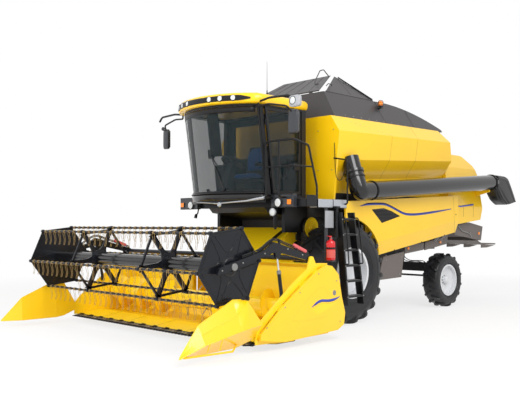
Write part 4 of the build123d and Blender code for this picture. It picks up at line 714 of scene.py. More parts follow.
def drawn_in(outline: Sequence[Point], middle: Point, steps: Sequence[Point]) -> list[list[Vector]]:
    """Outline of (rearwards, height) points at each (share of its size about middle, left place)."""
    (y0, z0) = middle
    return [[Vector((x, y0 + (y - y0) * share, z0 + (z - z0) * share)) for y, z in outline] for share,
            x in steps]


def both(form: Form) -> Form:
    """Form and its mirror image in one."""
    return Form().join(form).join(form.mirrored())


@dataclass
class Assembly:
    """A sub-assembly of the machine: the CAD nodes that it carries over, and its own pieces."""

    carried: dict[str, Finish] = field(default_factory=dict)

    def dress(self) -> None:
        """Give each carried node its finish."""
        for name, finish in self.carried.items():
            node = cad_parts[name]
            node.data.materials.clear()
            node.data.materials.append(finish.material())
            log.info("node %s in %s", name, finish.name)

    def build(self) -> None:
        """Make the sub-assembly's own pieces."""


@dataclass
class Lamp:
    """Round lamp: housing, rim, bowl and fluted lens."""

    name: str
    body: str
    centre: Point
    facing: Point
    radius: float = 0.06
    depth: float = 0.07
    housing: Finish = TRIM

    def build(self) -> None:
        """Make the housing and the lens."""
        r, d = self.radius, self.depth
        shell = Form().lathe(self.centre, self.facing, [
            (-d, 0.0), (-d, r * 0.55), (-d * 0.55, r * 0.95), (0.0, r * 1.08), (r * 0.12, r * 1.08),
            (r * 0.14, r * 0.98), (r * 0.02, r * 0.94), (-d * 0.3, r * 0.5), (-d * 0.35, 0.0)])
        shell.make(f"{self.name}_housing", self.housing, self.body)
        lens = Form().lathe(self.centre, self.facing, [
            (r * 0.02, r * 0.95), (r * 0.1, r * 0.9), (r * 0.2, r * 0.6), (r * 0.24, 0.0)])
        lens.make(f"{self.name}_lens", CLEAR, self.body)


# --------------------------------------------------------------------------- wheels
@dataclass
class Wheel(Assembly):
    """Tyre with two rows of bars and a dished rim."""

    name: str = "drive"
    hand: str = "left"
    centre: Point = (1.225, 0.0, 0.87)
    radius: float = 0.87
    half_width: float = 0.32
    bead: float = 0.264
    flange: float = 0.438
    lug_height: float = 0.048
    lugs: int = 18
    bolt_circle: float = 0.15
    bolts: int = 10
    face_out: float = 0.064

    def outline(self) -> list[tuple[float, float]]:
        """Half section of the carcass: (outwards, radius) from the bead to the crown."""
        h, top, low = self.half_width, self.radius - self.lug_height, self.flange
        side = top - low
        return [(self.bead, low - 0.03), (self.bead + 0.004, low + 0.006), (h * 0.93, low + side * 0.1),
                (h * 0.985, low + side * 0.26), (h * 0.998, low + side * 0.48), (h * 0.99, low + side * 0.66),
                (h * 0.955, low + side * 0.8), (h * 0.88, low + side * 0.9), (h * 0.72, low + side * 0.955),
                (h * 0.4, low + side * 0.99), (0.0, top)]

    def spot(self, out: float, radius: float, angle: float) -> Vector:
        """Point of the wheel at an angle up from the rear."""
        sign = 1 if self.centre[0] > 0 else -1
        x, y, z = self.centre
        return Vector((x + sign * out, y + radius * cos(angle), z + radius * sin(angle)))

    def carcass_radius(self, out: float) -> float:
        """Carcass radius at a distance out from the middle."""
        line = self.outline()[::-1]
        for (a, r), (b, s) in zip(line, line[1:]):
            if a <= abs(out) <= b:
                return r + (s - r) * (abs(out) - a) / max(b - a, 1e-6)
        return line[-1][1]

    def tread(self) -> Form:
        """Bars of the tread, from the middle out and down the shoulder."""
        form = Form()
        h, top = self.half_width, self.radius
        scale = self.radius / 0.87
        stations = [(-0.03, top), (0.2, top), (0.45, top), (0.66, top - 0.002), (0.82, top - 0.01),
                    (0.93, top - 0.03), (0.985, top - 0.075), (0.99, top - 0.135 * scale)]
        for row in (1, -1):
            for number in range(self.lugs):
                start = 2 * pi * (number + (0 if row > 0 else 0.5)) / self.lugs
                angle, previous, rows = start, stations[0][0], []
                for share, crest in stations:
                    slope = 0.95 - 0.45 * min(max(share, 0.0), 1.0)
                    angle += (share - previous) * h * slope / top
                    previous = share
                    half = (0.02 + 0.01 * max(share, 0)) * scale
                    deep = min(crest - 0.004, self.carcass_radius(share * h) - 0.008)
                    wide = half * 1.55
                    out, foot_out = row * share * h, row * min(share, 0.93) * h
                    if share > 0.95:
                        foot_out = row * (h - 0.02)
                        deep = crest
                    rows.append([self.spot(foot_out, deep, angle - wide / top),
                                 self.spot(out, crest, angle - half / top),
                                 self.spot(out, crest, angle + half / top),
                                 self.spot(foot_out, deep, angle + wide / top)])
                form.grid(rows, wrap=True, caps=True)
        return form

    def build(self) -> None:
        """Make the tyre, its sidewall ribs, the wheel bolts and the valve."""
        sign = 1 if self.centre[0] > 0 else -1
        body = f"{self.name}_wheel_{self.hand}"
        half = self.outline()
        section = half[:-1] + [(-a, r) for a, r in half[::-1]]
        form = Form().lathe(self.centre, LEFT, section, 96)
        form.lathe(self.centre, LEFT, [section[0], (self.bead * 0.8, section[0][1]),
                                       (-self.bead * 0.8, section[0][1]), section[-1]], 96)
        form.join(self.tread())
        form.make(f"{self.name}_tyre_skin_{self.hand}", RUBBER, body, angle=38,
                  replaces=[f"{self.name}_tyre_{self.hand}"])
        ribs = Form()
        for share in (0.14, 0.22, 0.55, 0.6):
            r = self.flange + (self.radius - self.lug_height - self.flange) * share
            for side in (1, -1):
                out = self.half_width * (0.952 if share < 0.2 else 0.982 if share < 0.3 else 0.997)
                ribs.lathe(self.centre, (side, 0, 0), [(out - 0.004, r - 0.007), (out + 0.0015, r - 0.003),
                                                       (out + 0.0015, r + 0.003), (out - 0.004, r + 0.007)], 96)
        ribs.make(f"{self.name}_sidewall_ribs_{self.hand}", RUBBER, body)
        studs = Form()
        for number in range(self.bolts):
            turn = 2 * pi * number / self.bolts
            studs.bolt(self.spot(self.face_out, self.bolt_circle, turn), (sign, 0, 0), 0.013)
        studs.make(f"{self.name}_wheel_nuts_{self.hand}", STEEL, body)
        valve = Form().tube([self.spot(self.face_out - 0.02, self.flange - 0.06, 1.1),
                             self.spot(self.face_out + 0.03, self.flange - 0.075, 1.1)], 0.006, 8)
        valve.make(f"{self.name}_tyre_valve_{self.hand}", STEEL, body)


# ---------------------------------------------------------------- chassis and drives
@dataclass
class Chassis(Assembly):
    """Axles, threshing body with its belts and springs, and the skirts."""

    carried: dict[str, Finish] = field(default_factory=lambda: {
        "front_axle": CHASSIS, "rear_axle": CHASSIS, "steering_knuckle_left": CHASSIS,
        "steering_knuckle_right": CHASSIS, "track_rod": CHASSIS, "engine_block": CHASSIS,
        # Near-black above 2.05 m: partly the body's black plates, partly painted shade under the grain tank and
        # behind the unloading tube.
        "threshing_body": Lagged("threshing_body_paint_and_painted_shade", Slot.GREY, paint(40, 38, 37), 0.6, dust=0.5, wear_and_highlight=0.2,
                                 second=paint(18, 18, 19)),
        "lower_skirts": GREY,
    })
    skirt_bolts: tuple[Point, ...] = ((1.31, 1.05, 0.74), (1.31, 1.66, 0.76), (1.31, 1.24, 1.04),
                                      (1.31, 1.74, 1.08), (1.22, 2.05, 1.18), (1.22, 2.58, 1.24),
                                      (1.2, 2.8, 1.24), (1.2, 3.48, 1.33))

    def belt(self, left: float, first: Point, second: Point, wide: float = 0.022) -> Form:
        """V-belt round two pulleys given as (rearwards, height, radius)."""
        (y0, z0, r0), (y1, z1, r1) = first, second
        lean = atan2(z1 - z0, y1 - y0)
        spread = (r0 - r1) / sqrt((y1 - y0) ** 2 + (z1 - z0) ** 2)
        path = []
        for (y, z, r), start, end in ((first, lean + pi / 2 - spread, lean + 3 * pi / 2 + spread),
                                      (second, lean - pi / 2 + spread, lean + pi / 2 - spread)):
            for step in range(13):
                a = start + (end - start) * step / 12
                path.append((left, y + r * cos(a), z + r * sin(a)))
        return Form().tube(path, wide / 2, 6, closed=True)

    def pulley(self, left: float, place_at: Point, wide: float = 0.03) -> Form:
        """Grooved pulley at (rearwards, height, radius)."""
        y, z, r = place_at
        return Form().lathe((left, y, z), LEFT, [
            (-wide, 0.0), (-wide, r * 0.25), (-wide * 0.4, r * 0.3), (-wide * 0.3, r * 0.85),
            (-wide * 0.7, r * 1.02),
            (-wide * 0.55, r * 1.05), (0.0, r * 0.93), (wide * 0.55, r * 1.05), (wide * 0.7, r * 1.02),
            (wide * 0.3, r * 0.85), (wide * 0.4, r * 0.3), (wide, r * 0.25), (wide, 0.0)], 36)

    def build(self) -> None:
        """Make the belts, pulleys, bolts, springs, marker lamps, hoses and louvres."""
        drives = [((-0.4, 1.64, 0.17), (0.62, 1.72, 0.1)), ((1.25, 1.62, 0.19), (2.35, 1.78, 0.12)),
                  ((2.35, 1.78, 0.12), (3.1, 1.5, 0.16))]
        for hand in (1, -1):
            where = "left" if hand > 0 else "right"
            wheels, belts = Form(), Form()
            for number, (first, second) in enumerate(drives):
                left = 0.905 + 0.045 * number
                for end in (first, second):
                    wheels.join(self.pulley(left, end))
                    wheels.tube([(0.85, end[0], end[1]), (left + 0.04, end[0], end[1])], 0.022, 12)
                belts.join(self.belt(left, first, second))
            wheels.on(hand).make(f"side_drive_pulleys_{where}", YELLOW_PAINTED_LIGHTER, angle=30)
            belts.on(hand).make(f"side_drive_belts_{where}", HOSE)
        bolts = Form()
        for x, y, z in self.skirt_bolts:
            bolts.bolt((x, y, z), LEFT, SMALL_BOLT)
        both(bolts).make("skirt_bolts", STEEL)
        springs = Form()
        for y in (3.02, 3.2):
            springs.coil((1.245, y, 1.36), (1.245, y + 0.52, 1.63), 0.02, 0.0045, 17)
        both(springs).make("chopper_springs", SILVER)
        markers = Form()
        for y, z, x in ((2.1, 1.235, 1.221), (3.3, 1.335, 1.201)):
            markers.lathe((x, y, z), LEFT, [(-0.004, 0.03), (0.01, 0.028), (0.014, 0.018), (0.015, 0.0)], 20)
        both(markers).make("side_marker_lamps", AMBER)
        pipes = Form()
        for x, z in ((0.3, 0.93), (0.36, 0.945)):
            pipes.tube(smooth_line([(x, 2.6, 1.19), (x, 3.0, 1.16), (x * 1.2, 3.3, z),
                                    (x * 1.9, 3.44, z - 0.02), (0.8, 3.42, 0.86)]), 0.009, 8)
        pipes.make("steering_hoses", HOSE)
        louvres = Form()
        for number in range(9):
            z = 1.24 + 0.035 * number
            louvres.prism([(0.862, 2.75, z), (0.862, 3.35, z), (0.874, 3.35, z - 0.015),
                           (0.874, 2.75, z - 0.015)], (0, 0, 0.006))
        both(louvres).make("body_louvres", CHASSIS)


# ------------------------------------------------------------------- yellow bodywork
@dataclass
class UpperBody(Assembly):
    """Grain tank, engine hood and straw hood, with their seams, stripe and air screen."""

    carried: dict[str, Finish] = field(default_factory=lambda: {
        "grain_tank": YELLOW, "engine_hood": YELLOW, "straw_hood": YELLOW, "straw_chopper": GREY})
    front_y: float = -0.3
    rear_y: float = 3.39
    outline: tuple[Point, ...] = ((1.19, 2.45, 2.66), (1.42, 2.79, 2.99), (1.484, 3.275, 3.36),
                                  (1.3, 3.55, 3.6))

    def skin(self, row: float, y: float, out: float = 0.0) -> Vector:
        """Point on the left side at a row of the outline and a distance back."""
        share = (y - self.front_y) / (self.rear_y - self.front_y)
        low = min(int(row), len(self.outline) - 2)
        points = [Vector((x, y, a + (b - a) * share)) for x, a, b in self.outline]
        spot = points[low].lerp(points[low + 1], row - low)
        run = points[low + 1] - points[low]
        return spot + Vector((run.z, 0, -run.x)).normalized() * out

    def seam(self, y: float, start: float = 0.0, end: float = 3.0) -> Form:
        """Narrow dark joint round the side at y."""
        rows = []
        for step in range(13):
            row = start + (end - start) * step / 12
            rows.append([self.skin(row, y - 0.0025, 0.0006), self.skin(row, y + 0.0025, 0.0006)])
        for whole in (1, 2):
            if start < whole < end:
                rows.append([self.skin(whole, y - 0.0025, 0.0006), self.skin(whole, y + 0.0025, 0.0006)])
        rows.sort(key=lambda pair: pair[0].z)
        return Form().grid(rows)

    def build(self) -> None:
        """Make the seams, bolts, air screen, lamps, hood ribs, rear stripe, board face and levers."""
        seams = Form()
        seams.join(self.seam(1.204, 0.0, 2.0)).join(self.seam(2.051))
        both(seams).make("upper_body_seams", PANEL_DEEP)
        bolts = Form()
        for number in range(12):
            row, y = 2.05 + 0.075 * number, 1.18 - 0.115 * number
            bolts.bolt(self.skin(row, y), self.skin(row, y, 1.0) - self.skin(row, y), 0.005)
        for x, z in ((1.02, 2.62), (1.32, 2.62), (1.02, 3.3), (1.36, 3.3)):
            bolts.bolt((x, -0.34, z), -BACK, 0.008)
        both(bolts).make("upper_body_bolts", STEEL)
        screen = Form()
        for number in range(22):
            y = 2.28 + 0.03 * number
            screen.box((-1.44, y, 2.905), (-1.425, y + 0.006, 3.215))
        for number in range(10):
            z = 2.93 + 0.03 * number
            screen.box((-1.442, 2.252, z), (-1.432, 2.948, z + 0.004))
        screen.make("air_screen", PANEL_DEEP)
        tails = Form()
        for x in (0.96, 1.1):
            tails.lathe((x, 4.79, 2.3), (0, 1, 0.1), [(-0.03, 0.058), (0.012, 0.056), (0.022, 0.036),
                                                      (0.025, 0.0)], 24)
        both(tails).make("tail_lamps", RED_LENS)
        ribs = Form()
        for x in (-0.6, -0.2, 0.2, 0.6):
            ribs.prism([(x - 0.04, 4.785, 2.72), (x + 0.04, 4.785, 2.72), (x + 0.04, 4.806, 2.1),
                        (x - 0.04, 4.806, 2.1)], (0, 0.01, 0))
        ribs.make("straw_hood_ribs", YELLOW, bevel=0.004)
        line = Form()
        line.grid([[(1.3475, 3.74 + 0.068 * i, 2.048 + 0.006 * i + (0.01 if i < 2 else 0.0) * (2 - i)),
                    (1.3475, 3.74 + 0.068 * i, 2.078 + 0.0066 * i + (0.01 if i < 2 else 0.0) * (2 - i))]
                   for i in range(11)])
        both(line).make("rear_stripe", BLUE, thick=0.001)
        edge = Form()
        for y in (4.0, 4.42):
            edge.prism([(1.3425, y - 0.003, 1.86), (1.3425, y + 0.003, 1.86), (1.345, y + 0.003, 2.08),
                        (1.345, y - 0.003, 2.08)], (0.001, 0, 0))
        both(edge).make("straw_hood_seams", PANEL_DEEP)
        board = Form().slab([(5.1, 1.3), (5.235, 1.276), (5.88, 1.2625), (5.895, 1.262), (5.24, 1.2845),
                             (5.105, 1.312)], -1.08, 1.08)
        board.make("spreader_board_face", GREY_PALE, bevel=0.002)
        lamps = Form().lathe((1.232, 4.86, 1.5), LEFT, [(-0.006, 0.034), (0.01, 0.032), (0.014, 0.02),
                                                        (0.015, 0.0)], 20)
        both(lamps).make("chopper_marker_lamps", AMBER)
        levers = Form()
        levers.tube(rounded([(1.236, 3.98, 1.66), (1.25, 4.1, 1.56), (1.25, 4.42, 1.5), (1.25, 4.5, 1.42)],
                            0.03), 0.009, 8)
        levers.bolt((1.236, 3.98, 1.66), LEFT, 0.012).bolt((1.238, 4.45, 1.52), LEFT, 0.016)
        both(levers).make("chopper_levers", STEEL)


@dataclass
class SidePanel(Assembly):
    """Hinged side panel with its stripe, air intake and latches."""

    hand: int = 1
    face_x: float = 1.45
    stripe: tuple[Point, ...] = ((0.27, 2.012), (0.5, 2.052), (0.93, 2.066), (1.12, 2.04), (1.37, 1.968),
                                 (1.56, 1.912), (1.75, 1.886), (2.1, 1.892), (2.7, 1.945), (3.32, 2.012))
    intake: tuple[Point, ...] = ((0.61, 1.96), (0.97, 1.99), (1.21, 1.94), (1.49, 1.85), (0.91, 1.72))

    def __post_init__(self) -> None:
        """Name the carried node by its side."""
        self.where = "left" if self.hand > 0 else "right"
        self.carried = {f"side_panel_{self.where}": YELLOW}

    def place(self, form: Form, name: str, finish: Finish, **options: Any) -> None:
        """Make form on this side."""
        form.on(self.hand).make(f"{name}_{self.where}", finish, f"side_panel_{self.where}", **options)

    def build(self) -> None:
        """Make the stripe, the intake's lining and slats, the latches and the seam."""
        line = smooth_line([(self.face_x + 0.0007, y, z) for y, z in self.stripe], 6)
        self.place(ribbon(line, 0.022, (0.25, 7), (0.35, 5)), "side_stripe", BLUE, thick=0.0006)
        x = self.face_x
        middle = [sum(part) / len(self.intake) for part in zip(*self.intake)]
        loops = drawn_in(self.intake, middle, ((1.0, x + 0.0004), (0.97, x - 0.006), (0.93, x - 0.0148),
                                               (0.3, x - 0.0154)))
        lining = Form().grid(loops, wrap=True)
        lining.add(loops[-1], [tuple(range(5))])
        self.place(lining, "intake_lining", PANEL)
        slats = Form()
        for number in range(9):
            z = 1.755 + 0.025 * number
            reach = [p for p in self.crossings(z) if p]
            if len(reach) == 2:
                a, b = min(reach) + 0.03, max(reach) - 0.03
                slats.prism([(x - 0.013, a, z), (x - 0.013, b, z), (x - 0.003, b, z - 0.011),
                             (x - 0.003, a, z - 0.011)], (0, 0, 0.004))
        self.place(slats, "intake_slats", PANEL_DEEP)
        latches = Form()
        for y, z in ((1.3, 1.225), (2.2, 1.355), (3.05, 1.48), (3.5, 1.9)):
            latches.lathe((x, y, z), LEFT, [(0.0, 0.014), (0.004, 0.013), (0.005, 0.008), (0.002, 0.006),
                                            (0.002, 0.0)], 20)
        self.place(latches, "panel_latches", BLACK)
        groove = Form().grid([[(x + 0.0005, 3.452, 1.5), (x + 0.0005, 3.457, 1.5)],
                              [(x + 0.0005, 3.402, 2.27), (x + 0.0005, 3.407, 2.27)]])
        self.place(groove, "panel_seam", PANEL_DEEP)

    def crossings(self, z: float) -> list[float]:
        """Places rearwards where the intake's edge passes height z."""
        found = []
        for (y0, z0), (y1, z1) in zip(self.intake, self.intake[1:] + self.intake[:1]):
            if (z0 - z) * (z1 - z) < 0:
                found.append(y0 + (y1 - y0) * (z - z0) / (z1 - z0))
        return found


@dataclass
class TankTop(Assembly):
    """Dark hopper extension and its three hatch covers, standing open."""

    carried: dict[str, Finish] = field(default_factory=lambda: {
        "tank_extension": PANEL, "hatch_front": PANEL, "hatch_left": PANEL, "hatch_right": PANEL})
    top_z: float = 4.02

    def build(self) -> None:
        """Make the covers' bars, folds and ribs, and the extension's joints and bolts."""
        for hand, where in ((1, "left"), (-1, "right")):
            # bar along the cover's falling edge, with its short struts
            top, foot = Vector((0.655, 0.64, 4.418)), Vector((0.992, 1.245, 4.036))
            bars = Form().tube([top + Vector((0.01, 0, 0.012)), foot + Vector((0.012, 0, 0.012))], 0.013, 8)
            for share in (0.18, 0.42, 0.66, 0.9):
                spot = top.lerp(foot, share)
                bars.tube([spot + Vector((0.012, 0, 0.01)), spot + Vector((0.045, -0.06, -0.04))], 0.007, 6)
            lug = rounded([(0.9, 0.02, 4.15), (0.95, 0.02, 4.19), (0.965, 0.1, 4.175), (0.93, 0.13, 4.165)],
                          0.02)
            bars.tube(lug, 0.007, 6)
            bars.on(hand).make(f"hatch_{where}_bars", BLACK, f"hatch_{where}")
            folds = Form()
            for y0, y1 in ((0.02, 0.562), (0.62, 0.6)):
                folds.tube([Vector((0.978, y0, 4.062)), Vector((0.668, y1, 4.405))], 0.006, 6)
            folds.on(hand).make(f"hatch_{where}_folds", PANEL, f"hatch_{where}")
        ribs = Form()
        for x in (-0.62, -0.31, 0.0, 0.31, 0.62):
            ribs.tube([(x, -0.135, 4.068), (x * 0.72, 0.48, 4.44)], 0.007, 6)
        ribs.make("hatch_front_ribs", PANEL, "hatch_front")
        joints = Form()
        for y in (1.3, 2.25):
            z = self.top_z - 0.004 if y < 1.35 else 3.945
            joints.prism([(1.2705, y - 0.003, 3.585), (1.2705, y + 0.003, 3.585),
                          (1.012 + (4.02 - z) * 0.55, y + 0.003, z), (1.012 + (4.02 - z) * 0.55, y - 0.003, z)],
                         (0.0015, 0, 0.0008))
        both(joints).make("extension_joints", PANEL_DEEP)
        bolts = Form()
        for number in range(14):
            y = 0.1 + 0.23 * number
            bolts.bolt((1.262, y, 3.6), (1, 0, 0.55), 0.007)
        both(bolts).make("extension_bolts", STEEL)


@dataclass
class UnloadingTube(Assembly):
    """Folded unloading tube with its swing joint and pleated rubber spout."""

    carried: dict[str, Finish] = field(default_factory=lambda: {"auger_turret": BLACK_GLOSS})
    x: float = 1.6
    front: Point = (1.6, 0.04, 2.26)
    rise: float = radians(4.24)
    lean: float = radians(18)
    radius: float = 0.16
    length: float = 4.75

    def along(self, distance: float) -> Vector:
        """Point on the centre line."""
        return Vector(self.front) + Vector((0, cos(self.rise), sin(self.rise))) * distance

    def axis(self, rise: float) -> Vector:
        """Point on the swing axis."""
        return Vector(self.front) + Vector((-sin(self.lean), 0, cos(self.lean))) * rise

    def build(self) -> None:
        """Make the tube with its elbow, the flanges, bolts and spout."""
        path = rounded([self.axis(0.33), self.axis(0.215), self.axis(0.0) + Vector((0, 0.02, 0)),
                        self.along(0.16), self.along(self.length)], 0.15, 7)
        tube = Form().tube(path, self.radius * 0.995, 48)
        tube.make("unloading_tube_skin", BLACK_GLOSS, "unloading_tube", replaces=["unloading_tube"])
        rings = Form()
        run = (self.along(1) - self.along(0))
        for distance in (0.34, self.length - 0.098):
            r = self.radius
            rings.lathe(self.along(distance), run, [(-0.012, r - 0.01), (-0.012, r + 0.012), (0.0, r + 0.013),
                                                    (0.002, r + 0.006), (0.01, r + 0.006), (0.012, r + 0.013),
                                                    (0.024, r + 0.012), (0.024, r - 0.01)], 48)
        down = self.axis(-1) - self.axis(0)
        for rise in (0.325, 0.24):
            rings.lathe(self.axis(rise), down, [(-0.012, self.radius - 0.01), (-0.012, self.radius + 0.014),
                                                (0.012, self.radius + 0.014), (0.012, self.radius - 0.01)], 48)
        rings.make("tube_flanges", BLACK, "unloading_tube", bevel=0.001)
        turret = Form()
        for number in range(10):
            turn = 2 * pi * number / 10
            out = Vector((cos(self.lean), 0, sin(self.lean))) * cos(turn) + BACK * sin(turn)
            turret.bolt(self.axis(0.352) + out * (self.radius + 0.012), out, 0.007)
        turret.make("turret_bolts", STEEL)
        self.spout()

    def spout(self) -> None:
        """Boxy rubber spout that turns the crop down, its folds deepening to the mouth."""
        end = self.along(self.length)
        back = smooth_line([(self.x, end.y + y, end.z + z) for y, z in (
            (-0.06, 0.148), (0.2, 0.146), (0.44, 0.122), (0.59, -0.03), (0.73, -0.225), (0.845, -0.4))], 4)
        front = smooth_line([(self.x, end.y + y, end.z + z) for y, z in (
            (-0.073, -0.15), (-0.01, -0.225), (0.06, -0.315), (0.14, -0.385), (0.26, -0.44),
            (0.385, -0.482))], 4)
        rows = []
        for i, (high, low) in enumerate(zip(back, front)):
            middle, reach = (high + low) / 2, (high - low) / 2
            fold = 0.055 * min(1.0, i / 8)
            row = []
            for k in range(112):
                a = 2 * pi * k / 112
                pleat = 1 - fold * (0.5 + 0.5 * sin(14 * a))
                row.append(middle + (Vector((0.168 * squared(cos(a), 0.4), 0, 0)) + reach
                                     * squared(sin(a), 0.4)) * pleat)
            rows.append(row)
        Form().grid(rows, wrap=True).make("unloading_spout", HOSE, "unloading_tube", thick=0.006, angle=60)
        band = Form().lathe(self.along(self.length - 0.04), self.along(1) - self.along(0),
                            [(-0.014, 0.165), (-0.014, 0.172), (0.014, 0.172), (0.014, 0.165)], 48)
        band.make("spout_band", STEEL, "unloading_tube")


# ------------------------------------------------------------------------------ cab
@dataclass
class Cab(Assembly):
    """Cab with its screen, roof, lamps, mirrors and controls."""

    carried: dict[str, Finish] = field(default_factory=lambda: {
        "cab_body": TRIM, "cab_glass": GLASS, "cab_interior": TRIM_GREY, "door_frame": TRIM,
        "door_glass": GLASS})
    floor: float = 2.185
    top: float = 3.63
    roof_edge: tuple[Point, ...] = ((1.01, -1.76), (0.0, -2.215))
    head: tuple[Point, ...] = ((0.925, -1.69), (0.0, -2.11))
    foot: tuple[Point, ...] = ((0.905, -1.49), (0.0, -1.93))

    def bow(self, ends: Sequence[Point], share: float, out: float = 0.0) -> Vector:
        """Point on a bowed front at a share from its right end to its left end, moved out level."""
        (x, y), (_, mid) = ends
        deep = y - mid
        r = (x * x + deep * deep) / (2 * deep)
        half = atan2(x, r - deep)
        a = -half + 2 * half * share
        return Vector(((r + out) * sin(a), mid + r - (r + out) * cos(a), 0))

    def screen(self, share: float, rise: float, out: float = 0.0) -> Vector:
        """Point on the windscreen at a share across and a share of its height."""
        low, high = self.bow(self.foot, share, out), self.bow(self.head, share, out)
        spot = low.lerp(high, rise)
        spot.z = self.floor + 0.04 + (self.top - 0.03 - self.floor - 0.04) * rise
        return spot

    def build(self) -> None:
        """Make the roof, screen trim, wipers, mirrors, lamps and controls."""
        self.roof()
        self.screen_trim()
        self.mirrors()
        self.controls()

    def plan(self, scale: float, z: float, back: float = 0.0) -> list[Vector]:
        """Roof outline at height z, drawn in by 1 - scale."""
        front = [self.bow(self.roof_edge, i / 24) for i in range(25)]
        rear = [Vector((1.01, -0.6, 0)), Vector((0.975, -0.562, 0)), Vector((-0.975, -0.562, 0)),
                Vector((-1.01, -0.6, 0))]
        centre = Vector((0, -1.25, 0))
        ring = [*front, Vector((1.01, -1.45, 0)), Vector((1.01, -1.0, 0)), *rear, Vector((-1.01, -1.0, 0)),
                Vector((-1.01, -1.45, 0))]
        result = []
        for p in ring:
            q = centre + (p - centre) * scale
            result.append(Vector((q.x, q.y + back, z)))
        return result

    def roof(self) -> None:
        """Make the roof shell, the dark band with its work lamps, the head trim and the rear lamps."""
        z = self.top
        rows = [self.plan(0.9, z + 0.0005), self.plan(0.965, z + 0.002), self.plan(0.99, z + 0.02),
                self.plan(0.999, z + 0.055), self.plan(0.998, z + 0.1), self.plan(0.985, z + 0.135),
                self.plan(0.955, z + 0.16), self.plan(0.9, z + 0.176), self.plan(0.78, z + 0.184),
                self.plan(0.4, z + 0.1845)]
        shell = Form().grid(rows, wrap=True)
        shell.add(rows[-1], [tuple(range(len(rows[-1])))]).add(rows[0], [tuple(range(len(rows[0])))[::-1]])
        shell.make("roof_shell", YELLOW, angle=60, replaces=["cab_roof"])
        band = []
        for i in range(41):
            share = 0.06 + 0.88 * i / 40
            swell = min(1.0, 0.3 + 9 * min(share - 0.06, 0.94 - share))
            low, high = z + 0.07 - 0.038 * swell, z + 0.07 + 0.055 * swell
            row = []
            for k in range(5):
                level = low + (high - low) * k / 4
                lean = max(0.0, level - z - 0.1) * 0.42
                spot = self.bow(self.roof_edge, share, 0.0035 - lean)
                row.append(Vector((spot.x, spot.y, level)))
            band.append(row)
        Form().grid(band).make("roof_lamp_band", TRIM, thick=0.004)
        for number, share in enumerate((0.185, 0.285, 0.38, 0.625, 0.715, 0.815)):
            spot = self.bow(self.roof_edge, share, -0.004)
            ahead = self.bow(self.roof_edge, share, 0.4) - spot
            Lamp(f"roof_lamp_{number + 1}", "machine", (spot.x, spot.y, z + 0.078), ahead, 0.048, 0.03).build()
        visor = Form()
        rows = []
        for i in range(25):
            share = 0.03 + 0.94 * i / 24
            a, b = self.screen(share, 0.925, 0.004), self.screen(share, 0.992, 0.004)
            rows.append([a, a.lerp(b, 0.5), b])
        visor.grid(rows).make("screen_head_trim", TRIM, thick=0.003)
        rear = Form()
        for x in (-0.8, 0.8):
            rear.lathe((x, -0.56, z + 0.07), BACK, [(-0.02, 0.042), (0.0, 0.042), (0.006, 0.03), (0.008, 0.0)],
                       24)
        rear.make("roof_rear_lamps", CLEAR)

    def screen_trim(self) -> None:
        """Make the apron's gloss strip, its painted highlight and catch, the seals, wiper, sun blind and door
        fittings.
        """
        apron = [(0.912, -1.507), (0.0, -1.9495)]

        def sheet(name: str, finish: Finish, start: float, band: Sequence[Point], out: float) -> None:
            """Strip round the apron; band gives share across, middle height and half height."""
            rows = []
            for i in range(41):
                share = start + (0.99 - start) * i / 40
                (s0, z0, h0), (s1, z1, h1) = next((a, b) for a, b in zip(band, band[1:]) if share <= b[0])
                t = (share - s0) / (s1 - s0)
                mid, half = z0 + (z1 - z0) * t, h0 + (h1 - h0) * t
                spots = ((self.bow(apron, share, out + (0.004 if level == mid else 0.0)), level)
                         for level in (mid - half, mid, mid + half))
                rows.append([Vector((spot.x, spot.y, level)) for spot, level in spots])
            Form().grid(rows).make(name, finish, thick=0.003)

        sheet("apron_gloss", BLACK_GLOSS, 0.01, ((0.0, 2.14, 0.06), (1.0, 2.14, 0.06)), 0.0035)
        # Painted highlight: a silver band along the glossy apron that dips in the middle and widens towards its
        # left end.
        sheet("apron_painted_highlight", SILVER, 0.3, ((0.3, 2.08, 0.006), (0.6, 2.035, 0.01), (0.85, 2.075, 0.014),
                                                  (1.0, 2.135, 0.03)), 0.006)
        line = [self.bow(apron, i / 40, 0.008) for i in range(41)]
        Form().tube([Vector((p.x, p.y, 2.205)) for p in line], 0.009, 8).make("apron_seal", TRIM)
        catch = self.bow(apron, 0.62)
        ahead = self.bow(apron, 0.62, 0.5) - catch
        Form().lathe((catch.x, catch.y, 2.02), ahead, [(0.0, 0.04), (0.014, 0.036), (0.022, 0.024),
                                                       (0.016, 0.018), (0.016, 0.0)],
                     28).make("screen_catch", SILVER)
        seals = Form()
        for share in (0.006, 0.994):
            seals.tube([self.screen(share, r / 10, 0.004) for r in range(11)], 0.012, 8)
        seals.tube([self.screen(i / 40, 0.005, 0.004) for i in range(41)], 0.01, 8)
        seals.make("screen_seals", TRIM)
        wiper = Form()
        pivot = self.screen(0.66, 0.03, 0.022)
        wiper.tube([self.screen(0.66 - 0.06 * t, 0.03 + 0.26 * t, 0.024) for t in (0, 0.2, 0.4, 0.6, 0.8, 1)],
                   0.007, 8)
        wiper.tube([self.screen(0.565 + 0.06 * t, 0.44 - 0.26 * t, 0.013) for t in (0, 0.25, 0.5, 0.75, 1)],
                   0.01, 8, flat=0.6)
        wiper.lathe(pivot, pivot - self.screen(0.66, 0.03), [(-0.02, 0.024), (0.004, 0.024), (0.01, 0.012),
                                                             (0.01, 0.0)], 16)
        wiper.make("screen_wiper", TRIM)
        blind = []
        for i in range(9):
            share = 0.54 + 0.12 * i / 8
            blind.append([self.screen(share, 0.985 - 0.56 * k / 6, -0.035) for k in range(7)])
        Form().grid(blind).make("sun_blind", TRIM, thick=0.003)
        Form().tube([self.screen(0.52 + 0.17 * i / 8, 0.985, -0.035) for i in range(9)], 0.014, 10).make(
            "sun_blind_roller", TRIM)
        side = Form()
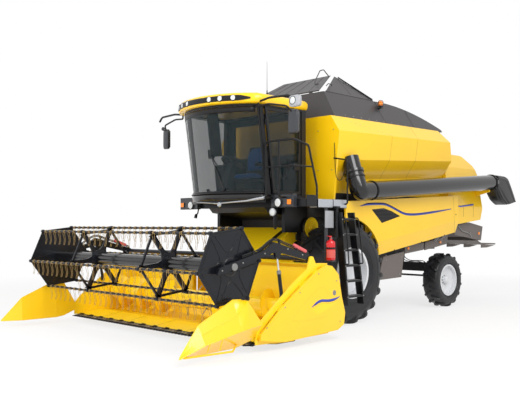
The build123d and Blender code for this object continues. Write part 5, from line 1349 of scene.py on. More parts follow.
        side.tube([(0.984, -1.02, 2.62), (0.99, -1.02, 2.78)], 0.008, 8)
        handle = rounded([(0.974, -0.83, 2.68), (1.01, -0.83, 2.68), (1.01, -0.83, 2.86), (0.974, -0.83, 2.86)],
                         0.02)
        side.tube(handle, 0.009, 8)
        side.make("door_handle", TRIM, "cab_door")
        lock = Form().prism([(0.958, -0.9, 2.6), (0.958, -0.76, 2.6), (0.958, -0.76, 2.72),
                             (0.958, -0.9, 2.72)], (0.018, 0, 0))
        lock.make("door_lock", TRIM, "cab_door", bevel=0.004)

    def mirrors(self) -> None:
        """Make the mirrors with their arms, the wide-angle mirror and the left work lamp."""
        arms, heads, faces = Form(), Form(), Form()
        for hand in (1, -1):
            arm, head, pane = Form(), Form(), Form()
            path = rounded([(0.96, -1.725, 3.64), (0.96, -1.725, 3.575), (1.18, -1.722, 3.59),
                            (1.54, -1.69, 3.52), (1.6, -1.6, 3.4), (1.6, -1.6, 3.12)], 0.05)
            arm.tube(path, 0.015, 12)
            arm.tube(rounded([(0.98, -1.722, 3.655), (1.2, -1.722, 3.685), (1.6, -1.705, 3.675),
                              (1.68, -1.7, 3.6)], 0.04), 0.018, 10)
            arm.lathe((1.6, -1.6, 3.41), UP, [(-0.03, 0.024), (0.03, 0.024), (0.034, 0.0)], 16)
            rows = []
            slim = 0.098 if hand > 0 else 0.076
            for z, wide, deep in ((3.095, 0.5, 0.3), (3.101, 0.8, 0.7), (3.12, 0.94, 0.92), (3.165, 1.0, 1.0),
                                  (3.385, 1.0, 1.0), (3.435, 0.94, 0.92), (3.457, 0.8, 0.7), (3.464, 0.5, 0.3)):
                rows.append([(1.6 + slim * wide * squared(c, 0.45), -1.6 + 0.038 * deep * squared(s, 0.6), z)
                             for c, s in circle(24)])
            head.grid(rows, wrap=True, caps=True)
            pane.prism([(1.613 - slim, -1.563, 3.13), (1.587 + slim, -1.563, 3.13),
                        (1.587 + slim, -1.563, 3.43), (1.613 - slim, -1.563, 3.43)], (0, 0.0018, 0))
            for part, whole in ((arm, arms), (head, heads), (pane, faces)):
                whole.join(part.on(hand))
        heads.make("mirror_heads", HOUSING, angle=50, replaces=["cab_mirrors"])
        arms.make("mirror_arms", TRIM)
        faces.make("mirror_faces", CHROME)
        far = Form().lathe((-1.655, -1.64, 3.475), (-0.25, 1, 0.0), [
            (-0.028, 0.0), (-0.024, 0.02), (-0.01, 0.034), (0.004, 0.036), (0.006, 0.03), (0.004, 0.0)], 24)
        far.tube([(-1.6, -1.605, 3.42), (-1.62, -1.63, 3.45), (-1.655, -1.66, 3.475)], 0.006, 8)
        far.make("wide_angle_mirror", HOUSING)
        box = Form()
        rows = []
        for y, wide, tall in ((-1.661, 0.55, 0.5), (-1.664, 0.9, 0.88), (-1.675, 1.0, 1.0), (-1.722, 1.0, 1.0),
                              (-1.7295, 0.92, 0.9)):
            rows.append([(1.73 + 0.108 * wide * squared(c, 0.4), y, 3.57 + 0.088 * tall * squared(s, 0.4))
                         for c, s in circle(24)])
        box.grid(rows, wrap=True, caps=True)
        box.tube([(1.7, -1.66, 3.6), (1.66, -1.69, 3.66)], 0.014, 10)
        box.make("left_work_lamp_box", GREY_PALE, angle=50)
        Lamp("left_work_lamp", "machine", (1.7, -1.7265, 3.58), -BACK, 0.06, 0.02).build()

    def controls(self) -> None:
        """Make the steering column and wheel, console, levers, monitor, pedals, bellows and mat."""
        column = Form()
        rows = []
        for y, z, wide, deep in ((-1.6, 2.19, 0.075, 0.075), (-1.59, 2.3, 0.066, 0.07),
                                 (-1.535, 2.5, 0.056, 0.062), (-1.455, 2.66, 0.062, 0.058),
                                 (-1.425, 2.73, 0.072, 0.048), (-1.42, 2.752, 0.05, 0.03)):
            rows.append([(wide * c, y + deep * s, z - 0.25 * deep * s) for c, s in circle(20)])
        column.grid(rows, wrap=True, caps=True)
        column.make("steering_column", TRIM_GREY, angle=60)
        hub, up = Vector((0, -1.395, 2.775)), Vector((0, 0.42, 0.91)).normalized()
        across, ahead = LEFT, up.cross(LEFT)
        wheel = Form().tube([hub + (across * c + ahead * s) * 0.195 for c, s in circle(40)], 0.014, 10,
                            closed=True)
        for turn in (radians(90), radians(215), radians(325)):
            out = across * cos(turn) + ahead * sin(turn)
            wheel.tube([hub - up * 0.018, hub - up * 0.012 + out * 0.1, hub + out * 0.19], [0.016, 0.011, 0.01],
                       8)
        wheel.lathe(hub - up * 0.03, up, [(-0.02, 0.03), (0.0, 0.048), (0.022, 0.046), (0.03, 0.036),
                                          (0.032, 0.0)], 24)
        knob = hub + (across * cos(2.6) + ahead * sin(2.6)) * 0.195
        wheel.lathe(knob, up, [(0.0, 0.008), (0.03, 0.01), (0.04, 0.02), (0.055, 0.021), (0.066, 0.012),
                               (0.068, 0.0)], 16)
        wheel.make("steering_wheel", TRIM)
        console = Form()
        console.slab([(-1.36, 2.66), (-1.35, 2.742), (-1.15, 2.762), (-0.8, 2.702), (-0.8, 2.56), (-1.2, 2.6)],
                     -0.525, -0.295)
        console.make("armrest_console", TRIM, bevel=0.015)
        levers = Form()
        for x, y, tall in ((-0.41, -1.24, 0.15), (-0.46, -1.12, 0.08), (-0.36, -1.1, 0.08)):
            base = Vector((x, y, 2.748))
            levers.tube([base, base + Vector((0, -0.012, tall * 0.6))], 0.008, 8)
            levers.lathe(base + Vector((0, -0.012, tall * 0.6)), (0, -0.1, 1), [
                (0.0, 0.01), (tall * 0.15, 0.022), (tall * 0.35, 0.025), (tall * 0.5, 0.018),
                (tall * 0.54, 0.0)], 16)
        levers.make("console_levers", TRIM)
        screen = Form().prism([(-0.62, -1.42, 2.86), (-0.42, -1.47, 2.86), (-0.42, -1.49, 3.02),
                               (-0.62, -1.44, 3.02)], (0.006, 0.028, 0))
        screen.tube([(-0.45, -1.36, 2.74), (-0.49, -1.41, 2.84), (-0.52, -1.43, 2.92)], 0.01, 8)
        screen.make("console_monitor", TRIM, bevel=0.006)
        pedals = Form()
        for x in (-0.22, 0.2, 0.3):
            pedals.prism([(x - 0.035, -1.72, 2.205), (x + 0.035, -1.72, 2.205), (x + 0.035, -1.77, 2.3),
                          (x - 0.035, -1.77, 2.3)], (0, -0.012, -0.006))
            pedals.tube([(x, -1.755, 2.24), (x, -1.8, 2.2)], 0.008, 8)
        pedals.make("pedals", TRIM, bevel=0.003)
        seat = Form()
        for number in range(7):
            z = 2.215 + 0.031 * number
            grow = 0.006 * (number % 2)
            seat.box((-0.185 - grow, -1.125 - grow, z), (0.185 + grow, -0.865 + grow, z + 0.026))
        seat.make("seat_bellows", TRIM, bevel=0.006)
        mat = Form().box((-0.62, -1.55, 2.1855), (0.75, -0.72, 2.192))
        mat.make("cab_mat", TRIM, bevel=0.002)


@dataclass
class DriverSeat(Assembly):
    """Sprung driver's seat: a base cushion and a back cushion under one blue cloth."""

    fill: float = 0.75

    def cushion(self, name: str, rows: Sequence[Sequence[Point]], cap: float) -> bpy.types.Object:
        """Pad blown up from a slightly smaller block.

        Args:
            name: The piece's name.
            rows: Loops of the starting block.
            cap: Furthest that a point may move, in metres.

        Returns:
            The cushion.
        """
        form = Form().grid(rows, wrap=True, caps=True)
        mesh = bpy.data.meshes.new(name)
        mesh.from_pydata([place(p) for p in form.points], [], form.faces)
        piece = bpy.data.objects.new(name, mesh)
        bpy.context.scene.collection.objects.link(piece)
        bpy.context.view_layer.objects.active = piece
        remesh = piece.modifiers.new("even", "REMESH")
        remesh.mode, remesh.voxel_size = "VOXEL", 0.012
        self.freeze(piece)
        rest = [v.co.copy() for v in piece.data.vertices]
        cloth = piece.modifiers.new("pad", "CLOTH")
        cloth.settings.use_pressure = True
        cloth.settings.uniform_pressure_force = 4.0
        cloth.settings.effector_weights.gravity = 0.0
        cloth.settings.quality = 4
        for step in range(1, 21):
            bpy.context.scene.frame_set(step)
        self.freeze(piece)
        bpy.context.scene.frame_set(1)
        for vertex, start in zip(piece.data.vertices, rest):
            move = vertex.co - start
            if move.length > cap:
                vertex.co = start + move.normalized() * cap
        smooth = piece.modifiers.new("smooth", "SUBSURF")
        smooth.levels = smooth.render_levels = 1
        piece.data.polygons.foreach_set("use_smooth", [True] * len(piece.data.polygons))
        piece.data.materials.append(CLOTH.material())
        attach(piece, "machine")
        log.info("padded piece %s", name)
        return piece

    def freeze(self, piece: bpy.types.Object) -> None:
        """Replace the piece's mesh by what its modifiers make of it."""
        graph = bpy.context.evaluated_depsgraph_get()
        mesh = bpy.data.meshes.new_from_object(piece.evaluated_get(graph))
        piece.modifiers.clear()
        piece.data = mesh

    def loop(self, y: float, z: float, wide: float, thick: float, tilt: float) -> list[Vector]:
        """Rounded oblong section of a pad, lying back by tilt."""
        ring = [(wide * squared(c, 0.35), thick * squared(s, 0.6)) for c, s in circle(28)]
        return [Vector((x, y + h * sin(tilt), z + h * cos(tilt))) for x, h in ring]

    def build(self) -> None:
        """Make both cushions, their seams, the back's shell and the armrest."""
        base = [self.loop(-1.195 + 0.315 * i / 6, 2.53 + 0.004 * (i % 2), 0.205 + 0.015 * min(i, 6 - i) / 3,
                          0.03 + 0.01 * min(i, 6 - i) / 3, 0.0) for i in range(7)]
        back = [self.loop(-0.868 + 0.055 * i / 8, 2.64 + 0.42 * i / 8, 0.195 + 0.02 * min(i, 4) / 4 - 0.05
                          * max(0, i - 6), 0.024 + 0.01 * min(i, 8 - i) / 4, radians(83)) for i in range(9)]
        first = self.cushion("seat_base_cushion", base, 0.016)
        second = self.cushion("seat_back_cushion", back, 0.016)
        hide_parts("seat_cushions")
        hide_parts("seat_cushions")
        piping = Form()
        for x in (-0.135, 0.135):
            piping.tube(smooth_line([(x, -1.205, 2.54), (x, -1.12, 2.573), (x, -0.98, 2.576),
                                     (x, -0.9, 2.572)]), 0.004, 6)
            piping.tube(smooth_line([(x, -0.905, 2.66), (x, -0.906, 2.8), (x, -0.878, 2.98), (x, -0.85, 3.05)]),
                        0.004, 6)
        piping.make("seat_seams", CLOTH)
        shell = []
        for i in range(9):
            z = 2.5 + 0.58 * i / 8
            y = -0.8 + 0.052 * i / 8
            shell.append([(x, y + 0.9 * (x * x) * -0.5, z) for x in (-0.225, -0.15, -0.05, 0.05, 0.15, 0.225)])
        Form().grid(shell).make("seat_back_shell", TRIM, thick=0.012)
        rest = Form().slab([(-1.1, 2.7), (-0.86, 2.7), (-0.84, 2.735), (-0.86, 2.765), (-1.1, 2.765),
                            (-1.13, 2.735)], 0.255, 0.325)
        rest.tube([(0.24, -0.83, 2.6), (0.29, -0.84, 2.66), (0.29, -0.88, 2.71)], 0.012, 8)
        rest.make("seat_armrest", TRIM, bevel=0.012)


# --------------------------------------------------------------- platform and ladder
@dataclass
class Platform(Assembly):
    """Driver's platform with its rails, lamps, ladder, chains and fire extinguisher."""

    carried: dict[str, Finish] = field(default_factory=lambda: {
        "platform": BLACK, "light_bars": HOUSING, "handrails": BLACK, "ladder": BLACK})
    bar_y: float = -1.41
    left: float = 1.62

    def build(self) -> None:
        """Make the lamps, boxes, treads, extinguisher, beacon, aerial and chains."""
        self.lamps()
        self.boxes()
        self.treads()
        self.extinguisher()
        self.beacon()
        self.chain("tank_chain", [(1.385, -0.345, 3.07), (1.392, -0.346, 2.9), (1.4, -0.348, 2.66),
                                  (1.43, -0.352, 2.48), (1.5, -0.362, 2.42), (1.58, -0.375, 2.46),
                                  (1.66, -0.392, 2.66), (1.698, -0.4, 2.735)])
        self.chain("gate_chain", [(1.262, -1.56, 2.597), (1.295, -1.56, 2.44), (1.355, -1.56, 2.4),
                                  (1.415, -1.56, 2.44), (1.45, -1.56, 2.597)])

    def lamps(self) -> None:
        """Make the headlamps, indicators and rims of the light bars, the low work lamp and the horn."""
        for hand, where in ((1, "left"), (-1, "right")):
            Lamp(f"headlamp_{where}", "machine", (hand * 1.105, self.bar_y - 0.022, 2.045), -BACK, 0.07,
                 0.012).build()
            lens = Form().box((hand * 1.305, self.bar_y - 0.017, 2.014),
                              (hand * 1.39, self.bar_y - 0.024, 2.091))
            lens.make(f"indicator_{where}", AMBER, bevel=0.004)
            frame_form = Form()
            for x0, x1, z0, z1 in ((0.945, 1.414, 1.974, 1.982), (0.945, 1.414, 2.169, 2.177)):
                frame_form.box((hand * x0, self.bar_y - 0.004, z0), (hand * x1, self.bar_y + 0.002, z1))
            frame_form.make(f"light_bar_rims_{where}", TRIM, bevel=0.002)
        post = Form().tube(smooth_line([(0.98, -1.36, 1.62), (0.99, -1.385, 1.72), (1.0, -1.405, 1.84),
                                        (1.0, -1.41, 1.88)]), 0.022, 10)
        post.tube(smooth_line([(0.985, -1.34, 1.64), (0.95, -1.31, 1.8), (0.9, -1.3, 1.95)]), 0.01, 8)
        post.tube([(0.95, -1.3, 1.98), (0.98, -1.36, 1.62)], 0.014, 8)
        post.make("low_lamp_post", BLACK)
        Lamp("low_work_lamp", "machine", (1.0, -1.448, 1.895), -BACK, 0.06, 0.05, GREY_PALE).build()
        stub = Form().tube([(-0.96, -1.36, 1.975), (-0.97, -1.37, 1.9), (-1.0, -1.385, 1.86)], 0.012, 8)
        stub.lathe((-1.0, -1.385, 1.86), (0, -0.3, -1), [(-0.02, 0.0), (-0.02, 0.024), (0.05, 0.03),
                                                         (0.055, 0.0)], 16)
        stub.make("right_horn", BLACK)

    def boxes(self) -> None:
        """Make the bright step boxes, the deck grip and the kick plate."""
        for number, (y0, y1) in enumerate(((-1.07, -0.7), (-0.69, -0.345)), start=1):
            lid = Form().box((self.left - 0.16, y0 + 0.004, 1.966), (self.left + 0.026, y1 - 0.004, 2.1005))
            lid.make(f"step_box_{number}", SILVER, bevel=0.01)
        grip = Form()
        for i in range(9):
            for j in range(7):
                x, y = 1.03 + 0.06 * i, -1.29 + 0.125 * j
                grip.prism([(x, y, 2.1002), (x + 0.034, y + 0.01, 2.1002), (x + 0.038, y + 0.018, 2.1002),
                            (x + 0.004, y + 0.008, 2.1002)], (0, 0, 0.003))
        grip.make("deck_grip", STEEL)
        plate = Form().box((self.left - 0.004, -1.325, 1.985), (self.left + 0.014, -1.09, 2.16))
        plate.make("kick_plates", BLACK, bevel=0.002)

    def treads(self) -> None:
        """Make the ladder's tread ribs, bolts and hand rails."""
        ribs, bolts = Form(), Form()
        for step in range(6):
            share = (step + 0.5) / 6
            z = 1.89 + (0.37 - 1.89) * share + 0.03
            y0, y1 = (a + (b - a) * share for a, b in ((-0.65, -0.48), (-0.33, -0.06)))
            for number in range(4):
                x = 1.65 + 0.03 * number
                ribs.box((x, y0 + 0.045, z), (x + 0.008, y1 - 0.01, z + 0.006))
            for y in (y0, y1):
                bolts.bolt((1.77, y + 0.017, z - 0.015), LEFT, SMALL_BOLT)
        ribs.make("ladder_tread_ribs", STEEL, "ladder")
        bolts.make("ladder_bolts", STEEL, "ladder")
        rails = Form()
        for top, foot in ((-0.65, -0.48), (-0.33, -0.06)):
            a, b = (top + (foot - top) * share + 0.017 for share in (0.06, 0.55))
            rails.tube(rounded([(1.772, a, 1.8), (1.84, a, 1.8), (1.84, b, 1.05), (1.772, b, 1.05)], 0.05),
                       0.011, 10)
        rails.make("ladder_hand_rails", BLACK, "ladder")

    def extinguisher(self) -> None:
        """Make the extinguisher with its gauge, strap, blank label, bracket and board."""
        x, y = 1.7, -0.83
        bottle = Form().lathe((x, y, 1.12), UP, [
            (0.0, 0.0), (0.0, 0.06), (0.008, 0.072), (0.02, 0.0748), (0.27, 0.0748), (0.3, 0.068),
            (0.318, 0.045),
            (0.325, 0.028), (0.345, 0.026), (0.345, 0.0)], 40)
        bottle.make("extinguisher_bottle", RED, angle=50, replaces=["fire_extinguisher"])
        valve = Form().lathe((x, y, 1.462), UP, [(0.0, 0.018), (0.02, 0.02), (0.022, 0.014), (0.036, 0.014),
                                                 (0.036, 0.0)], 20)
        valve.slab([(y - 0.02, 1.49), (y - 0.09, 1.507), (y - 0.094, 1.515), (y + 0.015, 1.512),
                    (y + 0.015, 1.49)], x - 0.012, x + 0.012)
        valve.make("extinguisher_valve", RED, bevel=0.002)
        gauge = Form().lathe((x + 0.018, y - 0.008, 1.474), LEFT, [(-0.004, 0.014), (0.008, 0.014),
                                                                   (0.008, 0.0)], 16)
        gauge.make("extinguisher_gauge", STEEL)
        hose = Form().tube(smooth_line([(x, y + 0.018, 1.478), (x + 0.03, y + 0.075, 1.46),
                                        (x + 0.03, y + 0.092, 1.34), (x + 0.02, y + 0.088, 1.22)]), 0.009, 10)
        hose.make("extinguisher_hose", HOSE)
        strap = Form().lathe((x, y, 1.3), UP, [(0.0, 0.0752), (0.0, 0.0772), (0.03, 0.0772), (0.03, 0.0752)],
                             40)
        strap.prism([(1.618, y - 0.02, 1.3), (1.64, y - 0.02, 1.3), (1.64, y + 0.02, 1.3),
                     (1.618, y + 0.02, 1.3)], (0, 0, 0.03))
        strap.make("extinguisher_strap", BLACK)
        label = Form()
        rows = [[(x + 0.0752 * cos(a), y + 0.0752 * sin(a), z) for a in (-1.9 + 0.2 * k for k in range(13))]
                for z in (1.165, 1.285)]
        label.grid(rows)
        label.make("extinguisher_label", LABEL)
        plate = Form().prism([(1.59, y - 0.03, 1.1), (1.59, y + 0.03, 1.1), (1.59, y + 0.03, 1.9795),
                              (1.59, y - 0.03, 1.9795)], (0.028, 0, 0))
        plate.prism([(1.618, y - 0.055, 1.102), (1.765, y - 0.055, 1.102), (1.765, y + 0.055, 1.102),
                     (1.618, y + 0.055, 1.102)], (0, 0, 0.016))
        plate.make("extinguisher_bracket", HOUSING, bevel=0.003)
        board = Form().box((1.619, -0.875, 1.64), (1.625, -0.665, 1.915))
        board.make("extinguisher_board", GREY_PALE, bevel=0.002)

    def beacon(self) -> None:
        """Make the beacon with its wire guard, and the aerial."""
        x, y, z = 1.13, 1.33, 3.88
        lens = Form().lathe((x, y, z + 0.048), UP, [
            (0.0, 0.047), (0.012, 0.049), (0.06, 0.047), (0.08, 0.04), (0.09, 0.022), (0.0915, 0.0)], 32)
        lens.make("beacon_lens", AMBER, angle=60, replaces=["beacon_and_antenna"])
        base = Form().lathe((x, y, z), UP, [(0.006, 0.0), (0.006, 0.03), (0.018, 0.019), (0.03, 0.019),
                                            (0.034, 0.0495), (0.048, 0.0495), (0.048, 0.0)], 32)
        base.prism([(1.06, y - 0.035, z), (x + 0.04, y - 0.035, z), (x + 0.04, y + 0.035, z),
                    (1.06, y + 0.035, z)], (0, 0, 0.012))
        base.make("beacon_base", BLACK, bevel=0.0015)
        guard = Form()
        for turn in (0, pi / 2):
            across = Vector((cos(turn), sin(turn), 0)) * 0.058
            centre = Vector((x, y, z))
            guard.tube(rounded([centre - across + Vector((0, 0, 0.03)), centre - across + Vector((0, 0, 0.148)),
                                centre + across + Vector((0, 0, 0.148)), centre + across
                                + Vector((0, 0, 0.03))], 0.04), 0.0028, 6)
        for level in (0.06, 0.11):
            guard.tube([(x + 0.058 * c, y + 0.058 * s, z + level) for c, s in circle(24)], 0.0028, 6,
                       closed=True)
        guard.make("beacon_guard", BLACK)
        rod = Form().lathe((0.88, -1.45, 3.8155), UP, [
            (0.0, 0.02), (0.006, 0.02), (0.01, 0.011), (0.06, 0.009), (0.07, 0.004), (0.3, 0.003),
            (0.532, 0.0016),
            (0.534, 0.0)], 12)
        rod.make("aerial", BLACK)

    def chain(self, name: str, route: Sequence[Point]) -> None:
        """Make a hanging chain of welded links along route.

        Args:
            name: The chain's name.
            route: The points that it hangs through.
        """
        line = hanging_line(route)
        gaps = [(b - a).length for a, b in zip(line, line[1:])]
        length = sum(gaps)
        pitch, wire = length / round(length / 0.022), 0.0026
        form, walked, index = Form(), 0.0, 0
        for number in range(round(length / pitch)):
            goal = (number + 0.5) * pitch
            while index < len(gaps) - 1 and walked + gaps[index] < goal:
                walked += gaps[index]
                index += 1
            run = (line[index + 1] - line[index]).normalized()
            spot = line[index] + run * (goal - walked)
            across = run.cross(Vector((0, 1, 0.2))).normalized()
            if number % 2:
                across = run.cross(across)
            loop = [spot + run * (c * pitch * 0.64) + across * (s * pitch * 0.34) for c, s in circle(12)]
            form.tube(loop, wire, 5, closed=True)
        piece = form.make(name, BLACK)


# --------------------------------------------------------------------------- header
@dataclass
class Header(Assembly):
    """Cutting table: auger, knife, end shields, crop dividers, feeder house and drive shaft."""

    carried: dict[str, Finish] = field(default_factory=lambda: {
        "header_frame": YELLOW_PAINTED_LIGHTER, "header_ends": YELLOW, "feeder_house": YELLOW_PAINTED_LIGHTER,
        "knife_bar": CHASSIS})
    outer: float = 2.362
    auger: Point = (0.0, -2.23, 0.48)

    def build(self) -> None:
        """Make the auger, knife, shields, table and feeder house details."""
        self.auger_flights()
        self.knife()
        self.shields()
        self.table()
        self.feeder()

    def auger_flights(self) -> None:
        """Make the auger's tube, its flights towards the middle, and the fingers."""
        _, y, z = self.auger
        tube = Form().lathe((0, y, z), LEFT, [(-2.25, 0.0), (-2.25, 0.149), (2.25, 0.149), (2.25, 0.0)], 48)
        tube.lathe((0, y, z), LEFT, [(-2.2865, 0.0), (-2.2865, 0.045), (-2.25, 0.045), (2.25, 0.045),
                                     (2.2865, 0.045), (2.2865, 0.0)], 24)
        for hand in (1, -1):
            rows = []
            for step in range(145):
                turn = 2 * pi * step / 48
                x = hand * (0.54 + 0.56 * step / 48)
                row = []
                for r, thick in ((0.14, 0.005), (0.21, 0.004), (0.284, 0.002)):
                    row.append((x - thick, y - r * sin(turn), z + r * cos(turn)))
                for r, thick in ((0.284, 0.002), (0.21, 0.004), (0.14, 0.005)):
                    row.append((x + thick, y - r * sin(turn), z + r * cos(turn)))
                rows.append(row)
            tube.grid(rows, wrap=True, caps=True)
        tube.make("auger_tube_and_flights", AUGER_YELLOW_PAINTED_LIGHTER, "header_auger", angle=40, replaces=["header_auger"])
        fingers = Form()
        for finger in range(8):
            turn = 2 * pi / 8 * finger * 3
            x = -0.42 + 0.84 / 7 * finger
            out = Vector((0, cos(turn), sin(turn)))
            base = Vector((x, y, z))
            fingers.tube([base + out * 0.14, base + out * 0.284], [0.008, 0.0065], 10)
            fingers.lathe(base + out * 0.147, out, [(0.0, 0.024), (0.01, 0.022), (0.014, 0.012), (0.014, 0.0)],
                          16)
        fingers.make("auger_fingers", STEEL, "header_auger")

    def knife(self) -> None:
        """Make the knife's sections, hold-down clips and guard bolts."""
        sections, clips, bolts = Form(), Form(), Form()
        for number in range(58):
            x = (number - 28.5) * 0.0762
            sections.prism([(x - 0.036, -3.075, 0.116), (x + 0.036, -3.075, 0.116), (x + 0.008, -3.16, 0.112),
                            (x - 0.008, -3.16, 0.112)], (0, 0, 0.003))
            bolts.bolt((x, -3.06, 0.1185), UP, 0.006)
            if number % 4 == 1:
                clips.prism([(x - 0.03, -3.032, 0.128), (x + 0.03, -3.032, 0.128), (x + 0.022, -3.12, 0.126),
                             (x - 0.022, -3.12, 0.126)], (0, 0, 0.01))
                clips.prism([(x - 0.016, -3.06, 0.136), (x + 0.016, -3.06, 0.136), (x + 0.01, -3.15, 0.122),
                             (x - 0.01, -3.15, 0.122)], (0, 0, 0.01))
        sections.make("knife_sections", STEEL, "header")
        clips.make("knife_clips", BLACK, "header", bevel=0.002)
        bolts.make("guard_bolts", STEEL, "header")

    def shields(self) -> None:
        """Make the end shields' skins, stripes, recesses, catches and bolts, and the dividers' folds."""
        outline = [(-3.07, 0.17), (-2.59, 0.1), (-2.0, 0.124), (-1.47, 0.15), (-1.33, 0.22), (-1.3, 0.39),
                   (-1.38, 0.64), (-1.45, 0.96), (-1.6, 1.09), (-1.74, 1.11), (-1.94, 1.03), (-2.21, 0.87),
                   (-2.66, 0.57), (-3.06, 0.24)]
        line = [(p.y, p.z) for p in rounded([(0, y, z) for y, z in outline + outline[:1]], 0.06, 3)[:-1]]
        x = self.outer
        rows = drawn_in(line, (-1.95, 0.55), ((1.0, x - 0.058), (1.0, x - 0.03), (0.985, x - 0.012),
                                              (0.95, x - 0.003), (0.88, x), (0.45, x + 0.0003)))
        skin = Form().grid(rows, wrap=True)
        skin.add(rows[-1], [tuple(range(len(rows[-1])))])
        both(skin).make("end_shield_skins", YELLOW, "header", angle=50)
        stripe = smooth_line([(self.outer + 0.001, y, z) for y, z in (
            (-2.056, 0.525), (-1.95, 0.575), (-1.839, 0.603), (-1.672, 0.592), (-1.53, 0.606),
            (-1.424, 0.637))], 6)
        both(ribbon(stripe, 0.02, (0.2, 4), (0.25, 3))).make("shield_stripes", BLUE, "header", thick=0.0006)
        recess = [(-2.093, 0.496), (-1.84, 0.56), (-1.66, 0.548), (-1.4, 0.588), (-1.833, 0.428),
                  (-1.932, 0.409)]
        rows = drawn_in(recess, (-1.8, 0.5), ((1.0, x + 0.0006), (0.93, x + 0.0012), (0.86, x - 0.006)))
        dish = Form().grid(rows, wrap=True)
        dish.add([(p[0] + 0.0068, p[1], p[2]) for p in rows[-1]], [tuple(range(6))])
        both(dish).make("shield_recesses", YELLOW_PAINTED_LIGHTER, "header", bevel=0.002)
        catches = Form()
        catches.lathe((self.outer, -1.551, 0.697), LEFT, [(0.0, 0.04), (0.004, 0.037), (0.005, 0.018),
                                                          (0.001, 0.015), (0.001, 0.0)], 20)
        both(catches).make("shield_catches", STEEL, "header")
        folds = Form()
        folds.tube([(2.372, -4.4, 0.112), (2.441, -4.08, 0.24), (2.451, -3.48, 0.352), (2.448, -3.34, 0.374),
                    (2.431, -3.11, 0.396)], 0.006, 6)
        folds.tube([(2.352, -4.4, 0.126), (2.307, -4.08, 0.467), (2.268, -3.48, 0.731), (2.273, -3.34, 0.725)],
                   0.005, 6)
        folds.tube([(2.376, -4.08, 0.353), (2.362, -3.48, 0.541), (2.409, -3.34, 0.713)], 0.004, 6)
        for y, x, z in ((-4.0, 2.442, 0.255), (-3.8, 2.445, 0.292)):
            folds.tube([(x, y, z), (x - 0.06, y, 0.135)], 0.008, 6)
        both(folds).make("divider_folds", YELLOW_PAINTED_LIGHTER, "header")
        bolts = Form()
        for y, z in ((-2.95, 0.36), (-2.6, 0.6), (-2.3, 0.78), (-1.9, 1.02), (-1.5, 0.9), (-1.42, 0.3)):
            bolts.bolt((self.outer + 0.0005, y, z - 0.03), LEFT, 0.008)
        both(bolts).make("shield_bolts", STEEL, "header")

    def table(self) -> None:
        """Make the rear wall's ribs, the floor's joints, the top beam's lip and the skids' shoes."""
        ribs = Form()
        for number in range(13):
            x = -2.1 + 0.35 * number
            if abs(x) > 0.66:
                ribs.slab([(-1.7, 1.055), (-1.622, 1.055), (-1.622, 0.275), (-1.83, 0.275), (-1.8, 0.4),
                           (-1.755, 0.6)], x - 0.004, x + 0.004)
        ribs.make("header_rear_ribs", YELLOW_PAINTED_LIGHTER, "header")
        seams = Form()
        for x in (-1.52, -0.76, 0.0, 0.76, 1.52):
            seams.grid([[(x - 0.003, -3.02, 0.1285), (x + 0.003, -3.02, 0.1285)],
                        [(x - 0.003, -2.622, 0.1775), (x + 0.003, -2.622, 0.1775)],
                        [(x - 0.003, -2.452, 0.1515), (x + 0.003, -2.452, 0.1515)]])
        seams.make("floor_joints", CHASSIS, "header")
        angle = Form()
        angle.slab([(-1.76, 1.1), (-1.618, 1.1), (-1.618, 1.116), (-1.76, 1.108)], -2.28, 2.28)
        angle.make("top_beam_lip", YELLOW_PAINTED_LIGHTER, "header", bevel=0.002)
        shoes = Form()
        shoes.slab([(-2.9, 0.0985), (-2.6, 0.059), (-2.25, 0.059), (-2.13, 0.128), (-2.13, 0.122),
                    (-2.245, 0.055), (-2.605, 0.055), (-2.905, 0.094)], 2.045, 2.205)
        both(shoes).make("skid_shoes", BLACK, "header")

    def feeder(self) -> None:
        """Make the feeder house's ribs, hoses and coupler, and the drive shaft."""
        ribs = Form()
        for share in (0.2, 0.4, 0.6, 0.8):
            y = -0.62 - 0.98 * share
            top = 1.64 - 0.62 * (y + 0.56) / (-1.62 + 0.56)
            low = 1.0 - 0.71 * (y + 0.6) / (-1.62 + 0.6)
            ribs.prism([(0.67, y - 0.012, low + 0.02), (0.67, y + 0.012, low + 0.02),
                        (0.67, y + 0.012, top - 0.02), (0.67, y - 0.012, top - 0.02)], (0.01, 0, 0))
        both(ribs).make("feeder_side_ribs", YELLOW_PAINTED_LIGHTER, "header", bevel=0.003)
        hoses = Form()
        for number in range(3):
            x = 0.6 - 0.035 * number
            hoses.tube(smooth_line([(x, -0.6, 1.665), (x, -0.9, 1.5), (x, -1.25, 1.29), (x, -1.55, 1.12),
                                    (x + 0.02 * number, -1.66, 1.115)]), 0.009, 8)
        hoses.make("feeder_hoses", HOSE, "header")
        coupler = Form().box((0.44, -1.72, 1.112), (0.66, -1.63, 1.17))
        coupler.tube(rounded([(0.46, -1.7, 1.165), (0.46, -1.74, 1.3), (0.64, -1.74, 1.3), (0.64, -1.7, 1.165)],
                             0.03), 0.008, 8)
        coupler.make("hose_coupler", BLACK, "header", bevel=0.005)
        shaft = Form().tube([(0.7, -0.7, 1.02), (0.72, -1.3, 0.6), (0.74, -1.6, 0.42)], 0.03, 14)
        shaft.lathe((0.7, -0.7, 1.02), (0.0, -0.82, -0.57), [(-0.04, 0.0), (-0.04, 0.06), (0.05, 0.055),
                                                             (0.09, 0.03)], 20)
        shaft.make("header_drive_shaft", YELLOW, "header")


